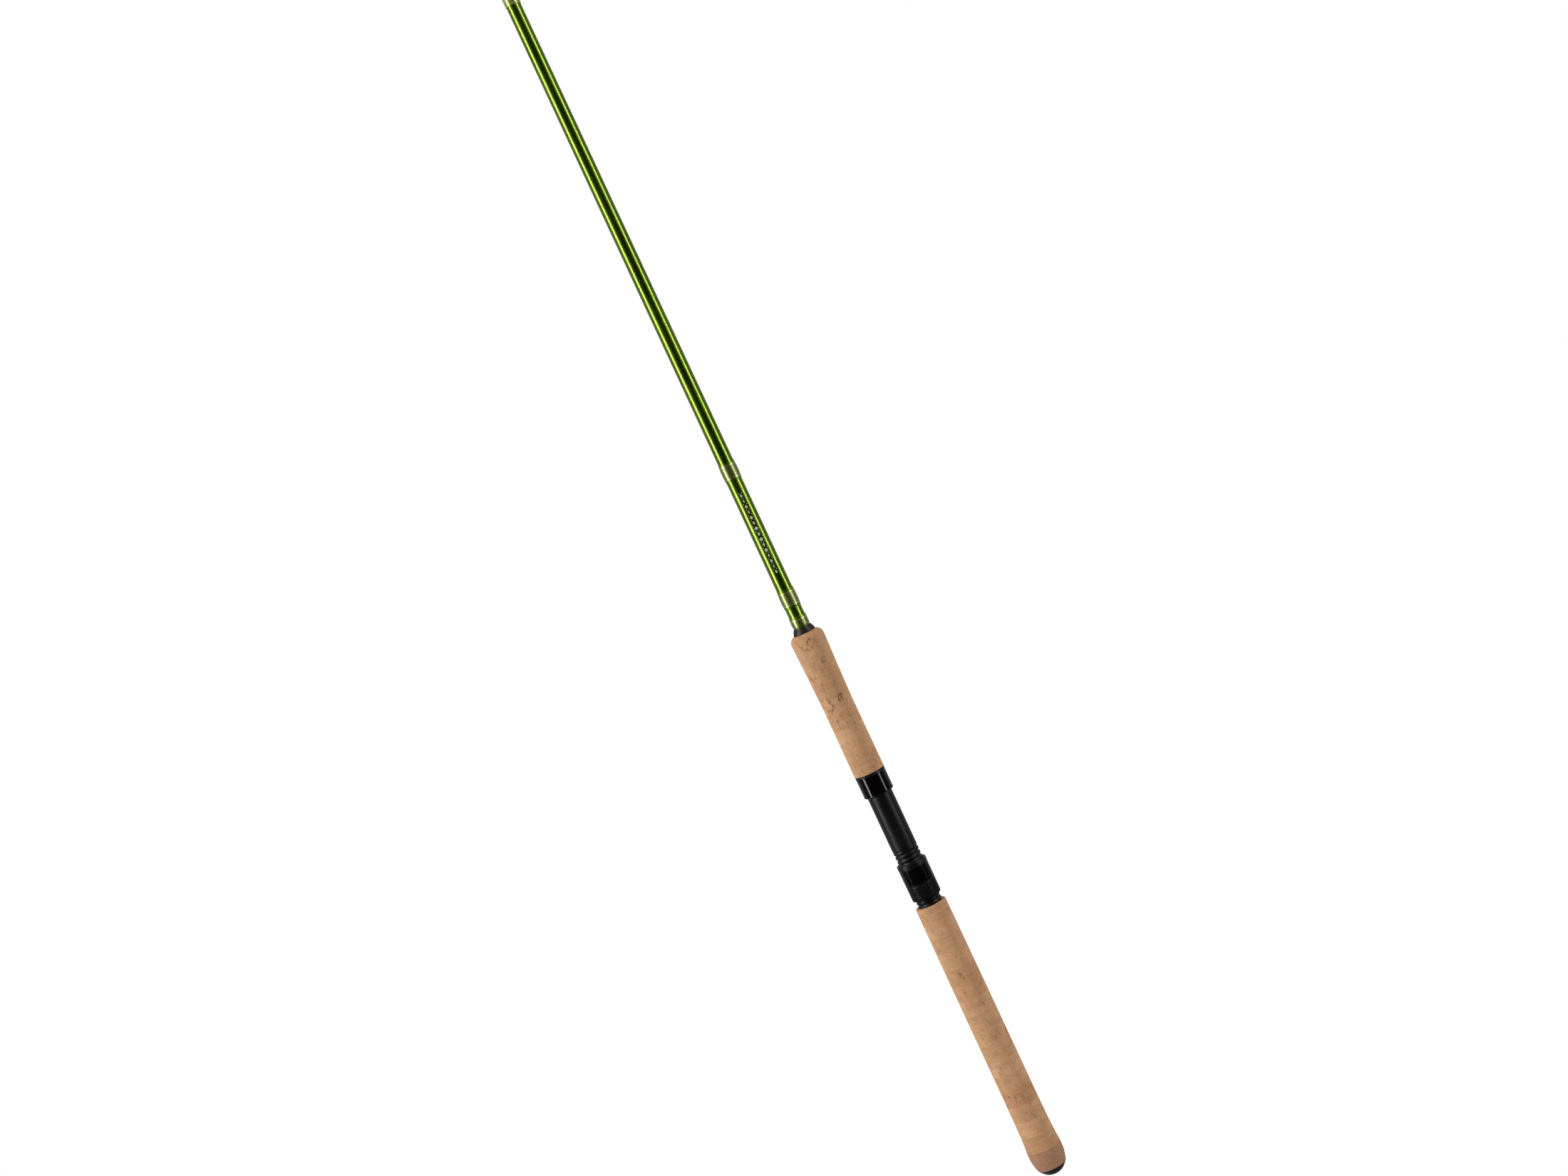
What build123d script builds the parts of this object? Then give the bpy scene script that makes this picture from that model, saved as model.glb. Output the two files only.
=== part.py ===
from build123d import *
import os

# A two-piece, ten-foot spinning rod, in millimetres.
# The rod stands along +Z with its tip up. The origin is the middle of the butt cap's end face.
# The reel foot and the line guides are on the +Y side, so -Y is the rod's plain upper side.
# The butt section carries the grips and the reel seat. The tip section pushes over it.

# Blanks
ROD_LENGTH = 3048.0
FERRULE_OVERLAP = 76.0
BLANK_BUTT_RADIUS = 6.97
BLANK_TAPER = 0.00138
BLANK_WALL = 0.95
TIP_END_RADIUS = 0.95
TIP_END_WALL = 0.45
FERRULE_CLEARANCE = 0.05
FERRULE_END_ROOM = 4.0
GLUE_GAP = 0.05

# Butt cap and grips, stacked up from the butt
CAP_HEIGHT = 6.4
CAP_FLAT_RADIUS = 3.8
CAP_SPIGOT_LENGTH = 16.0
CAP_DOME_FULLNESS = 0.8
BUTT_RING_LENGTH = 16.2
BUTT_RING_LAND = 8.4
BUTT_RADIUS = 13.85
BUTT_TAPER_IN = 1.95
BUTT_CORNER_RADIUS = 9.0
REAR_GRIP_LENGTH = 209.3
REAR_GRIP_RADIUS = 12.3
REAR_GRIP_WAIST_RADIUS = 12.7
REAR_FLARE_LENGTH = 44.0
REAR_FLARE_LEAN = 0.09
REAR_FRONT_FILLET = 1.2
REAR_RING_COUNT = 16
FORE_GRIP_LENGTH = 117.1
FORE_GRIP_RADIUS = 12.0
FORE_GRIP_BULB_RADIUS = 13.5
FORE_BULB_LENGTH = 45.0
FORE_BULB_LEAN = 0.02
FORE_WAIST_RISE = 0.15
FILLET_LIMIT = 0.9
FORE_FRONT_FILLET = 6.0
FORE_RING_COUNT = 9
CHECK_LENGTH = 4.6
CHECK_BASE_WALL = 2.4
CHECK_TOP_WALL = 0.8
CHECK_RIM = 1.0

# Reel seat
SEAT_LENGTH = 112.0
SEAT_WALL = 1.75
ARBOR_WALL = 1.46
THREAD_PITCH = 3.5
THREAD_DEPTH = 0.65
THREAD_GROOVE_WIDTH = 2.5
THREAD_CUTTER_RISE = 0.3
THREAD_ROOT_WIDTH = 1.1
THREAD_LENGTH = 48.0
KEY_WIDTH = 3.8
KEY_HEIGHT = 0.8
KEY_CLEARANCE = 0.1
KEYWAY_LENGTH = 72.0
SLIDE_CLEARANCE = 0.08
ARBOR_LENGTH = 30.0
ARBOR_INSET = 6.0
FIXED_HOOD_LENGTH = 18.3
FIXED_HOOD_WALL = 2.1
MOVING_HOOD_LENGTH = 17.2
MOVING_HOOD_WALL = 1.95
HOUSING_WALL = 1.7
HOUSING_BEVEL = 2.7
HOOD_LIP = 1.6
HOOD_CORNER = 1.1
HOOD_EDGE = 0.45
POCKET_WIDTH = 15.6
POCKET_HEIGHT = 5.15
POCKET_CROWN = 20.0
POCKET_DEPTH = 13.0
NUT_LENGTH = 12.6
NUT_WALL = 1.75
NUT_GAP = 0.2
NUT_CORNER = 1.2
NUT_GRIP_FACE_GAP = 5.9
KNURL_COUNT = 54
KNURL_RADIUS = 0.42
KNURL_OVERRUN = 1.0

# Thread wraps with epoxy: height above the blank, then place and length of each
TRIM_WRAP_HEIGHT = 0.56
LOWER_TRIM_Z = 470.4
LOWER_TRIM_LENGTH = 9.2
MIDDLE_TRIM_Z = 489.4
MIDDLE_TRIM_LENGTH = 15.2
UPPER_TRIM_Z = 594.8
UPPER_TRIM_LENGTH = 15.0
FERRULE_WRAP_LENGTH = 44.0
FERRULE_WRAP_HEIGHT = 0.4
FERRULE_WRAP_INSET = 1.0
WRAP_EDGE_SHARE = 0.33
GUIDE_WRAP_HEIGHT = 0.45

# Line guides, butt to tip: share of the way from the first guide to the rod's tip,
# ring's outer radius, ring's height above the blank's surface, and number of feet
FIRST_GUIDE_Z = 1007.4
GUIDES = [
    (0.0, 12.5, 21.0, 2),
    (0.19, 8.0, 14.5, 2),
    (0.363, 6.0, 11.0, 1),
    (0.521, 5.0, 9.0, 1),
    (0.665, 4.0, 7.2, 1),
    (0.793, 3.5, 6.2, 1),
    (0.907, 3.5, 5.8, 1),
]
GUIDE_RING_WALL = 0.17
GUIDE_RING_WIDTH = 0.2
GUIDE_RING_MIN_WIDTH = 1.6
GUIDE_COLLAR_WALL = 0.08
GUIDE_COLLAR_MIN_WALL = 0.5
GUIDE_LEG_RADIUS = 0.62
GUIDE_LEG_REACH = 0.75
GUIDE_LEG_SPREAD = 0.87
GUIDE_LEG_DROP = 0.5
GUIDE_LEG_BOW_OUT = 0.08
GUIDE_LEG_BOW_BACK = 0.12
GUIDE_COLLAR_WIDTH = 0.8
RING_EDGE_SHARE = 0.3
FOOT_WIDTH = 2.6
FOOT_THICKNESS = 0.9
FOOT_LENGTH = 15.0
FOOT_SINK = 0.5
FOOT_LEG_INSET = 1.5
FOOT_LEG_SPREAD = 0.25
FOOT_LEG_SINK = 0.4
WRAP_CHAMFER_SHARE = 0.6
WRAP_START = 3.0
RING_GLUE_GAP = 0.03

# Tip-top
TIP_TUBE_LENGTH = 13.0
TIP_TUBE_WALL = 0.35
TIP_RING_RADIUS = 3.2
TIP_RING_HEIGHT = 4.6
TIP_RING_WIDTH = 1.7
TIP_RING_WALL = 0.9
TIP_COLLAR_WALL = 0.6
TIP_TUBE_SETBACK = 7.0
TIP_WRAP_LENGTH = 6.0
TIP_WRAP_HEIGHT = 0.3
TIP_STRUT_SHARE = 0.75
TIP_STRUT_SPREAD = 0.6
TIP_STRUT_LIFT = 0.5
TIP_BORE_OVERRUN = 2.0

# Heights worked out from the stack
REAR_GRIP_Z = CAP_HEIGHT + BUTT_RING_LENGTH
SEAT_Z = REAR_GRIP_Z + REAR_GRIP_LENGTH
FORE_GRIP_Z = SEAT_Z + SEAT_LENGTH
CHECK_Z = FORE_GRIP_Z + FORE_GRIP_LENGTH
FIXED_HOOD_Z = FORE_GRIP_Z - FIXED_HOOD_LENGTH
NUT_Z = SEAT_Z + NUT_GRIP_FACE_GAP
MOVING_HOOD_Z = NUT_Z + NUT_LENGTH + NUT_GAP
MALE_END_Z = (ROD_LENGTH + FERRULE_OVERLAP) / 2
FERRULE_Z = MALE_END_Z - FERRULE_OVERLAP
TIP_TUBE_Z = ROD_LENGTH - TIP_TUBE_SETBACK - TIP_TUBE_LENGTH
TIP_BLANK_END_Z = TIP_TUBE_Z + TIP_TUBE_LENGTH


def blank_radius(z):
    """Outer radius of the butt blank at height z."""
    return BLANK_BUTT_RADIUS - BLANK_TAPER * z


# Radii worked out from the blank outwards
CAP_RADIUS = BUTT_RADIUS - BUTT_TAPER_IN
SEAT_BORE_RADIUS = blank_radius(SEAT_Z) + ARBOR_WALL
SEAT_RADIUS = SEAT_BORE_RADIUS + SEAT_WALL
THREAD_ROOT = SEAT_RADIUS - THREAD_DEPTH
FIXED_HOOD_RADIUS = SEAT_RADIUS + FIXED_HOOD_WALL
MOVING_HOOD_RADIUS = SEAT_RADIUS + MOVING_HOOD_WALL
NUT_RADIUS = SEAT_RADIUS + NUT_WALL
POCKET_TOP = SEAT_RADIUS + POCKET_HEIGHT
MOUTH_RADIUS = blank_radius(FERRULE_Z) + FERRULE_CLEARANCE + BLANK_WALL


def tip_radius(z):
    """Outer radius of the tip blank at height z."""
    share = (z - FERRULE_Z) / (TIP_BLANK_END_Z - FERRULE_Z)
    return MOUTH_RADIUS + (TIP_END_RADIUS - MOUTH_RADIUS) * share


os.makedirs("parts", exist_ok=True)


def write(builder, label):
    """Name a finished piece and save it."""
    builder.part.label = label
    export_step(builder.part, f"parts/{label}.step")


# Butt blank: a plain tapered tube from the cap to the male end of the ferrule
with BuildPart() as butt_blank:
    with BuildSketch(Plane.XZ):
        with BuildLine():
            Polyline(
                (blank_radius(CAP_HEIGHT), CAP_HEIGHT),
                (blank_radius(MALE_END_Z), MALE_END_Z),
                (blank_radius(MALE_END_Z) - BLANK_WALL, MALE_END_Z),
                (blank_radius(CAP_HEIGHT) - BLANK_WALL, CAP_HEIGHT),
                close=True,
            )
        make_face()
    revolve(axis=Axis.Z)
write(butt_blank, "butt_blank")

# Tip blank: its mouth fits the male end, and above that its bore follows its own taper
BORE_STEP_Z = MALE_END_Z + FERRULE_END_ROOM
with BuildPart() as tip_blank:
    with BuildSketch(Plane.XZ):
        with BuildLine():
            Polyline(
                (MOUTH_RADIUS, FERRULE_Z),
                (TIP_END_RADIUS, TIP_BLANK_END_Z),
                (TIP_END_RADIUS - TIP_END_WALL, TIP_BLANK_END_Z),
                (tip_radius(BORE_STEP_Z) - BLANK_WALL, BORE_STEP_Z),
                (blank_radius(BORE_STEP_Z) + FERRULE_CLEARANCE, BORE_STEP_Z),
                (blank_radius(FERRULE_Z) + FERRULE_CLEARANCE, FERRULE_Z),
                close=True,
            )
        make_face()
    revolve(axis=Axis.Z)
write(tip_blank, "tip_blank")

# Butt cap: a domed rubber cap whose spigot plugs the blank's bore
with BuildPart() as butt_cap:
    with BuildSketch(Plane.XZ):
        with BuildLine():
            dome_middle = (CAP_RADIUS * CAP_DOME_FULLNESS, CAP_HEIGHT / 2)
            Line((0, 0), (CAP_FLAT_RADIUS, 0))
            ThreePointArc((CAP_FLAT_RADIUS, 0), dome_middle, (CAP_RADIUS, CAP_HEIGHT))
            spigot_radius = blank_radius(CAP_HEIGHT) - BLANK_WALL - GLUE_GAP
            spigot_top = CAP_HEIGHT + CAP_SPIGOT_LENGTH
            spigot_end_radius = blank_radius(spigot_top) - BLANK_WALL - GLUE_GAP
            Polyline(
                (CAP_RADIUS, CAP_HEIGHT),
                (spigot_radius, CAP_HEIGHT),
                (spigot_end_radius, spigot_top),
                (0, spigot_top),
                (0, 0),
            )
        make_face()
    revolve(axis=Axis.Z)
write(butt_cap, "butt_cap")

# Butt ring: hard composite cork with a straight land above a tapered, rounded corner
with BuildPart() as butt_ring:
    with BuildSketch(Plane.XZ) as ring_outline:
        with BuildLine():
            Polyline(
                (CAP_RADIUS, CAP_HEIGHT),
                (BUTT_RADIUS, REAR_GRIP_Z - BUTT_RING_LAND),
                (BUTT_RADIUS, REAR_GRIP_Z),
                (blank_radius(REAR_GRIP_Z) + GLUE_GAP, REAR_GRIP_Z),
                (blank_radius(CAP_HEIGHT) + GLUE_GAP, CAP_HEIGHT),
                close=True,
            )
        make_face()
        corner = ring_outline.vertices().group_by(Axis.X)[-1].sort_by(Axis.Y)[0]
        fillet(corner, BUTT_CORNER_RADIUS)
    revolve(axis=Axis.Z)
write(butt_ring, "butt_ring")

# Outline of the whole rear grip, flared into the butt ring: radius across, height up
with BuildSketch() as rear_outline:
    with BuildLine():
        Spline(
            (BUTT_RADIUS, REAR_GRIP_Z),
            (REAR_GRIP_WAIST_RADIUS, REAR_GRIP_Z + REAR_FLARE_LENGTH),
            (REAR_GRIP_RADIUS, SEAT_Z),
            tangents=[(-REAR_FLARE_LEAN, 1), (0, 1)],
        )
        Polyline(
            (REAR_GRIP_RADIUS, SEAT_Z),
            (blank_radius(SEAT_Z) + GLUE_GAP, SEAT_Z),
            (blank_radius(REAR_GRIP_Z) + GLUE_GAP, REAR_GRIP_Z),
            (BUTT_RADIUS, REAR_GRIP_Z),
        )
    make_face()
    front_corner = rear_outline.vertices().group_by(Axis.Y)[-1].sort_by(Axis.X)[-1]
    fillet(front_corner, REAR_FRONT_FILLET)

# Outline of the whole foregrip, with a bulb at its rounded front end
with BuildSketch() as fore_outline:
    with BuildLine():
        Spline(
            (FORE_GRIP_RADIUS, FORE_GRIP_Z),
            (FORE_GRIP_RADIUS + FORE_WAIST_RISE, CHECK_Z - FORE_BULB_LENGTH),
            (FORE_GRIP_BULB_RADIUS, CHECK_Z),
            tangents=[(0, 1), (FORE_BULB_LEAN, 1)],
        )
        Polyline(
            (FORE_GRIP_BULB_RADIUS, CHECK_Z),
            (blank_radius(CHECK_Z) + GLUE_GAP, CHECK_Z),
            (blank_radius(FORE_GRIP_Z) + GLUE_GAP, FORE_GRIP_Z),
            (FORE_GRIP_RADIUS, FORE_GRIP_Z),
        )
    make_face()
    bulb_corner = fore_outline.vertices().group_by(Axis.Y)[-1].sort_by(Axis.X)[-1]
    front_wall = FORE_GRIP_BULB_RADIUS - blank_radius(CHECK_Z)
    fillet(bulb_corner, min(FORE_FRONT_FILLET, FILLET_LIMIT * front_wall))


def cork_rings(outline, base_z, length, count, name):
    """Cut a grip's outline into its glued cork rings, numbered up from the butt."""
    ring_length = length / count
    saw_width = 2 * (BUTT_RADIUS + FORE_GRIP_BULB_RADIUS)
    for index in range(count):
        middle_z = base_z + (index + 0.5) * ring_length
        with BuildPart() as cork_ring:
            with BuildSketch(Plane.XZ):
                add(outline.sketch)
                with Locations((0, middle_z)):
                    Rectangle(saw_width, ring_length, mode=Mode.INTERSECT)
            revolve(axis=Axis.Z)
        write(cork_ring, f"{name}_{index + 1:02d}")


cork_rings(rear_outline, REAR_GRIP_Z, REAR_GRIP_LENGTH, REAR_RING_COUNT, "rear_cork_ring")
cork_rings(fore_outline, FORE_GRIP_Z, FORE_GRIP_LENGTH, FORE_RING_COUNT, "fore_cork_ring")

# Winding check: a rubber cone that closes the foregrip's front
with BuildPart() as winding_check:
    check_top = CHECK_Z + CHECK_LENGTH
    check_base = blank_radius(CHECK_Z) + CHECK_BASE_WALL
    with BuildSketch(Plane.XZ):
        with BuildLine():
            Polyline(
                (check_base, CHECK_Z),
                (check_base, CHECK_Z + CHECK_RIM),
                (blank_radius(check_top) + CHECK_TOP_WALL, check_top),
                (blank_radius(check_top) + GLUE_GAP, check_top),
                (blank_radius(CHECK_Z) + GLUE_GAP, CHECK_Z),
                close=True,
            )
        make_face()
    revolve(axis=Axis.Z)
write(winding_check, "winding_check")

# Reel seat body: a tube with a keyway on the reel's side and a thread cut along its rear
SEAT_TOP_Z = FORE_GRIP_Z - HOOD_LIP
with BuildPart() as reel_seat_body:
    with BuildSketch(Plane.XY.offset(SEAT_Z)):
        Circle(SEAT_RADIUS)
        Circle(SEAT_BORE_RADIUS, mode=Mode.SUBTRACT)
    extrude(amount=SEAT_TOP_Z - SEAT_Z)
    with BuildLine():
        thread_path = Helix(
            THREAD_PITCH,
            THREAD_LENGTH + THREAD_PITCH,
            THREAD_ROOT,
            center=(0, 0, SEAT_Z - THREAD_PITCH),
        )
    with BuildSketch(Plane.XZ):
        groove_z = SEAT_Z - THREAD_PITCH
        cutter_top = SEAT_RADIUS + THREAD_CUTTER_RISE
        with BuildLine():
            Polyline(
                (THREAD_ROOT, groove_z - THREAD_ROOT_WIDTH / 2),
                (cutter_top, groove_z - THREAD_GROOVE_WIDTH / 2),
                (cutter_top, groove_z + THREAD_GROOVE_WIDTH / 2),
                (THREAD_ROOT, groove_z + THREAD_ROOT_WIDTH / 2),
                close=True,
            )
        make_face()
    sweep(path=thread_path, is_frenet=True, mode=Mode.SUBTRACT)
    with Locations((0, SEAT_RADIUS, SEAT_Z + KEYWAY_LENGTH / 2)):
        Box(
            KEY_WIDTH + 2 * KEY_CLEARANCE,
            2 * (KEY_HEIGHT + KEY_CLEARANCE),
            KEYWAY_LENGTH,
            mode=Mode.SUBTRACT,
        )
write(reel_seat_body, "reel_seat_body")


def arbor(base_z, name):
    """A bushing that centres the seat body on the tapered blank."""
    with BuildPart() as bushing:
        with BuildSketch(Plane.XZ):
            with BuildLine():
                Polyline(
                    (SEAT_BORE_RADIUS - GLUE_GAP, base_z),
                    (SEAT_BORE_RADIUS - GLUE_GAP, base_z + ARBOR_LENGTH),
                    (blank_radius(base_z + ARBOR_LENGTH) + GLUE_GAP, base_z + ARBOR_LENGTH),
                    (blank_radius(base_z) + GLUE_GAP, base_z),
                    close=True,
                )
            make_face()
        revolve(axis=Axis.Z)
    write(bushing, name)


arbor(SEAT_Z + ARBOR_INSET, "arbor_rear")
arbor(SEAT_TOP_Z - ARBOR_INSET - ARBOR_LENGTH, "arbor_front")


def hood_housing(width, top, height):
    """Sketch the crowned housing over the reel foot, from the rod's axis to its top."""
    with BuildSketch(Plane.XY.offset(height)) as housing:
        with Locations((0, top / 2)):
            Rectangle(width, top)
        with Locations((0, top - POCKET_CROWN)):
            Circle(POCKET_CROWN, mode=Mode.INTERSECT)
    return housing.sketch


# Fixed hood: a shell over the seat's front end, with a pocket for the reel's front foot
with BuildPart() as fixed_hood:
    with BuildSketch(Plane.XY.offset(FIXED_HOOD_Z)):
        Circle(FIXED_HOOD_RADIUS)
    extrude(amount=FIXED_HOOD_LENGTH)
    rims = fixed_hood.edges().filter_by(GeomType.CIRCLE).sort_by(Axis.Z)
    fillet(rims[0], HOOD_CORNER)
    fillet(fixed_hood.edges().filter_by(GeomType.CIRCLE).sort_by(Axis.Z)[-1], HOOD_EDGE)
    housing_top = POCKET_TOP + HOUSING_WALL
    add(hood_housing(POCKET_WIDTH + 2 * HOUSING_WALL, housing_top, FIXED_HOOD_Z))
    extrude(amount=POCKET_DEPTH + HOUSING_WALL)
    front_edges = fixed_hood.faces().sort_by(Axis.Y)[-1].edges().sort_by(Axis.Z)
    chamfer(front_edges[-1], length=HOUSING_BEVEL)
    add(hood_housing(POCKET_WIDTH, POCKET_TOP, FIXED_HOOD_Z))
    extrude(amount=POCKET_DEPTH, mode=Mode.SUBTRACT)
    with BuildSketch(Plane.XY.offset(FIXED_HOOD_Z)):
        Circle(SEAT_RADIUS + GLUE_GAP)
    extrude(amount=SEAT_TOP_Z - FIXED_HOOD_Z, mode=Mode.SUBTRACT)
    with BuildSketch(Plane.XY.offset(SEAT_TOP_Z)):
        Circle(blank_radius(SEAT_TOP_Z) + GLUE_GAP)
    extrude(amount=HOOD_LIP, mode=Mode.SUBTRACT)
write(fixed_hood, "fixed_hood")

# Moving hood: slides along the thread, keyed so that its pocket stays under the reel foot
with BuildPart() as moving_hood:
    hood_top_z = MOVING_HOOD_Z + MOVING_HOOD_LENGTH
    with BuildSketch(Plane.XY.offset(MOVING_HOOD_Z)):
        Circle(MOVING_HOOD_RADIUS)
    extrude(amount=MOVING_HOOD_LENGTH)
    fillet(moving_hood.edges().filter_by(GeomType.CIRCLE), HOOD_EDGE)
    add(hood_housing(POCKET_WIDTH + 2 * HOUSING_WALL, POCKET_TOP + HOUSING_WALL, hood_top_z))
    extrude(amount=-POCKET_DEPTH - HOUSING_WALL)
    rear_edges = moving_hood.faces().sort_by(Axis.Y)[-1].edges().sort_by(Axis.Z)
    chamfer(rear_edges[0], length=HOUSING_BEVEL)
    add(hood_housing(POCKET_WIDTH, POCKET_TOP, hood_top_z))
    extrude(amount=-POCKET_DEPTH, mode=Mode.SUBTRACT)
    with BuildSketch(Plane.XY.offset(MOVING_HOOD_Z)):
        Circle(SEAT_RADIUS + SLIDE_CLEARANCE)
    extrude(amount=MOVING_HOOD_LENGTH, mode=Mode.SUBTRACT)
    key_length = MOVING_HOOD_LENGTH - POCKET_DEPTH
    with Locations((0, SEAT_RADIUS, MOVING_HOOD_Z + key_length / 2)):
        Box(KEY_WIDTH, 2 * KEY_HEIGHT, key_length)
write(moving_hood, "moving_hood")

# Lock nut: a knurled ring that screws along the thread behind the moving hood
with BuildPart() as lock_nut:
    with BuildSketch(Plane.XZ) as nut_outline:
        with Locations((NUT_RADIUS / 2, NUT_Z + NUT_LENGTH / 2)):
            Rectangle(NUT_RADIUS, NUT_LENGTH)
        outer_corners = nut_outline.vertices().group_by(Axis.X)[-1].sort_by(Axis.Y)
        fillet(outer_corners[0], NUT_CORNER)
        fillet(outer_corners[-1], HOOD_EDGE)
    revolve(axis=Axis.Z)
    with BuildSketch(Plane.XY.offset(NUT_Z)):
        Circle(SEAT_RADIUS + SLIDE_CLEARANCE)
    extrude(amount=NUT_LENGTH, mode=Mode.SUBTRACT)
    with BuildSketch(Plane.XY.offset(NUT_Z - KNURL_OVERRUN)):
        with PolarLocations(NUT_RADIUS + KNURL_RADIUS / 2, KNURL_COUNT):
            Circle(KNURL_RADIUS)
    extrude(amount=NUT_LENGTH + 2 * KNURL_OVERRUN, mode=Mode.SUBTRACT)
write(lock_nut, "lock_nut")


def thread_wrap(radius_at, middle_z, length, height, name):
    """A band of thread round a blank under a lens of epoxy."""
    low = middle_z - length / 2
    high = middle_z + length / 2
    with BuildPart() as wrap:
        with BuildSketch(Plane.XZ):
            with BuildLine():
                crown = (radius_at(middle_z) + height, middle_z)
                inner_low = (radius_at(low) + RING_GLUE_GAP, low)
                inner_high = (radius_at(high) + RING_GLUE_GAP, high)
                edge_low = (radius_at(low) + height * WRAP_EDGE_SHARE, low)
                edge_high = (radius_at(high) + height * WRAP_EDGE_SHARE, high)
                ThreePointArc(edge_low, crown, edge_high)
                Polyline(edge_high, inner_high, inner_low, edge_low)
            make_face()
        revolve(axis=Axis.Z)
    write(wrap, name)


thread_wrap(blank_radius, LOWER_TRIM_Z, LOWER_TRIM_LENGTH, TRIM_WRAP_HEIGHT, "trim_wrap_lower")
thread_wrap(blank_radius, MIDDLE_TRIM_Z, MIDDLE_TRIM_LENGTH, TRIM_WRAP_HEIGHT, "trim_wrap_middle")
thread_wrap(blank_radius, UPPER_TRIM_Z, UPPER_TRIM_LENGTH, TRIM_WRAP_HEIGHT, "trim_wrap_upper")
ferrule_wrap_z = FERRULE_Z + FERRULE_WRAP_INSET + FERRULE_WRAP_LENGTH / 2
thread_wrap(tip_radius, ferrule_wrap_z, FERRULE_WRAP_LENGTH, FERRULE_WRAP_HEIGHT, "ferrule_wrap")


def guide_feet(radius_at, place, reach, feet):
    """Where each foot lies: its middle's height and the radius of the blank there."""
    directions = [-1, 1] if feet == 2 else [1]
    rows = []
    for direction in directions:
        middle = place + direction * (reach + FOOT_LENGTH / 2)
        rows.append((direction, middle, radius_at(middle)))
    return rows


def guide_ring(place, outer, centre_y, name):
    """The hard ceramic ring, its edges rounded so that the line runs over them."""
    wall = outer * GUIDE_RING_WALL
    width = max(outer * GUIDE_RING_WIDTH, GUIDE_RING_MIN_WIDTH)
    axis = Axis((0, centre_y, place), (0, 0, 1))
    with BuildPart() as ring:
        with BuildSketch(Plane.YZ) as section:
            with Locations((centre_y + outer - wall / 2, place)):
                Rectangle(wall, width)
            fillet(section.vertices(), min(wall, width) * RING_EDGE_SHARE)
        revolve(axis=axis)
    write(ring, name)
    return width


def guide_frame(radius_at, place, outer, centre_y, feet, width, name):
    """The steel frame: a collar for the ring, bent legs, and feet that lie on the blank."""
    collar = max(outer * GUIDE_COLLAR_WALL, GUIDE_COLLAR_MIN_WALL)
    collar_middle = outer + RING_GLUE_GAP + collar / 2
    reach = (centre_y - radius_at(place)) * GUIDE_LEG_REACH
    axis = Axis((0, centre_y, place), (0, 0, 1))
    with BuildPart() as frame:
        with BuildSketch(Plane.YZ):
            with Locations((centre_y + collar_middle, place)):
                Rectangle(collar, width * GUIDE_COLLAR_WIDTH)
        revolve(axis=axis)
        for direction, middle, blank_r in guide_feet(radius_at, place, reach, feet):
            foot_top = blank_r + FOOT_THICKNESS
            foot_start = middle - direction * (FOOT_LENGTH / 2 - FOOT_LEG_INSET)
            foot_width = min(FOOT_WIDTH, blank_r)
            with Locations((0, foot_top - (FOOT_THICKNESS + FOOT_SINK) / 2, middle)):
                Box(foot_width, FOOT_THICKNESS + FOOT_SINK, FOOT_LENGTH)
            for side in (-1, 1):
                top = Vector(
                    side * collar_middle * GUIDE_LEG_SPREAD,
                    centre_y - collar_middle * GUIDE_LEG_DROP,
                    place,
                )
                bottom = Vector(
                    side * foot_width * FOOT_LEG_SPREAD, foot_top - FOOT_LEG_SINK, foot_start
                )
                bow = (top + bottom) / 2 + Vector(
                    side * outer * GUIDE_LEG_BOW_OUT, 0, -direction * reach * GUIDE_LEG_BOW_BACK
                )
                with BuildLine():
                    leg_path = ThreePointArc(top, bow, bottom)
                with BuildSketch(Plane(origin=leg_path @ 0, z_dir=leg_path % 0)):
                    Circle(GUIDE_LEG_RADIUS)
                sweep(path=leg_path)
            with Locations((0, 0, middle)):
                Cone(
                    radius_at(middle - FOOT_LENGTH),
                    radius_at(middle + FOOT_LENGTH),
                    2 * FOOT_LENGTH,
                    mode=Mode.SUBTRACT,
                )
        with Locations((0, centre_y, place)):
            Cylinder(outer + RING_GLUE_GAP, width + 2 * GUIDE_LEG_RADIUS, mode=Mode.SUBTRACT)
    write(frame, name)
    return frame, reach


def guide_wraps(radius_at, place, frame, reach, feet):
    """Thread and epoxy over each foot, bound round the blank."""
    wraps = []
    for direction, middle, blank_r in guide_feet(radius_at, place, reach, feet):
        base = middle + direction * WRAP_START - FOOT_LENGTH / 2
        with BuildPart() as wrap:
            with BuildSketch(Plane.XY.offset(base)):
                with BuildLine():
                    CenterArc((0, 0), blank_r + GUIDE_WRAP_HEIGHT, 0, 360)
                    hump_y = blank_r + FOOT_THICKNESS + GUIDE_WRAP_HEIGHT
                    hump = min(FOOT_WIDTH, blank_r) / 2
                    Line((-hump, hump_y), (hump, hump_y))
                make_hull()
            extrude(amount=FOOT_LENGTH)
            chamfer(wrap.faces().filter_by(Axis.Z).edges(), GUIDE_WRAP_HEIGHT * WRAP_CHAMFER_SHARE)
            with Locations((0, 0, base + FOOT_LENGTH / 2)):
                Cone(
                    radius_at(base),
                    radius_at(base + FOOT_LENGTH),
                    FOOT_LENGTH,
                    mode=Mode.SUBTRACT,
                )
            add(frame.part, mode=Mode.SUBTRACT)
        wraps += wrap.part.solids()
    return wraps


def write_group(solids, label):
    """Save several loose solids as one node."""
    group = Compound(children=solids, label=label)
    export_step(group, f"parts/{label}.step")


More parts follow.
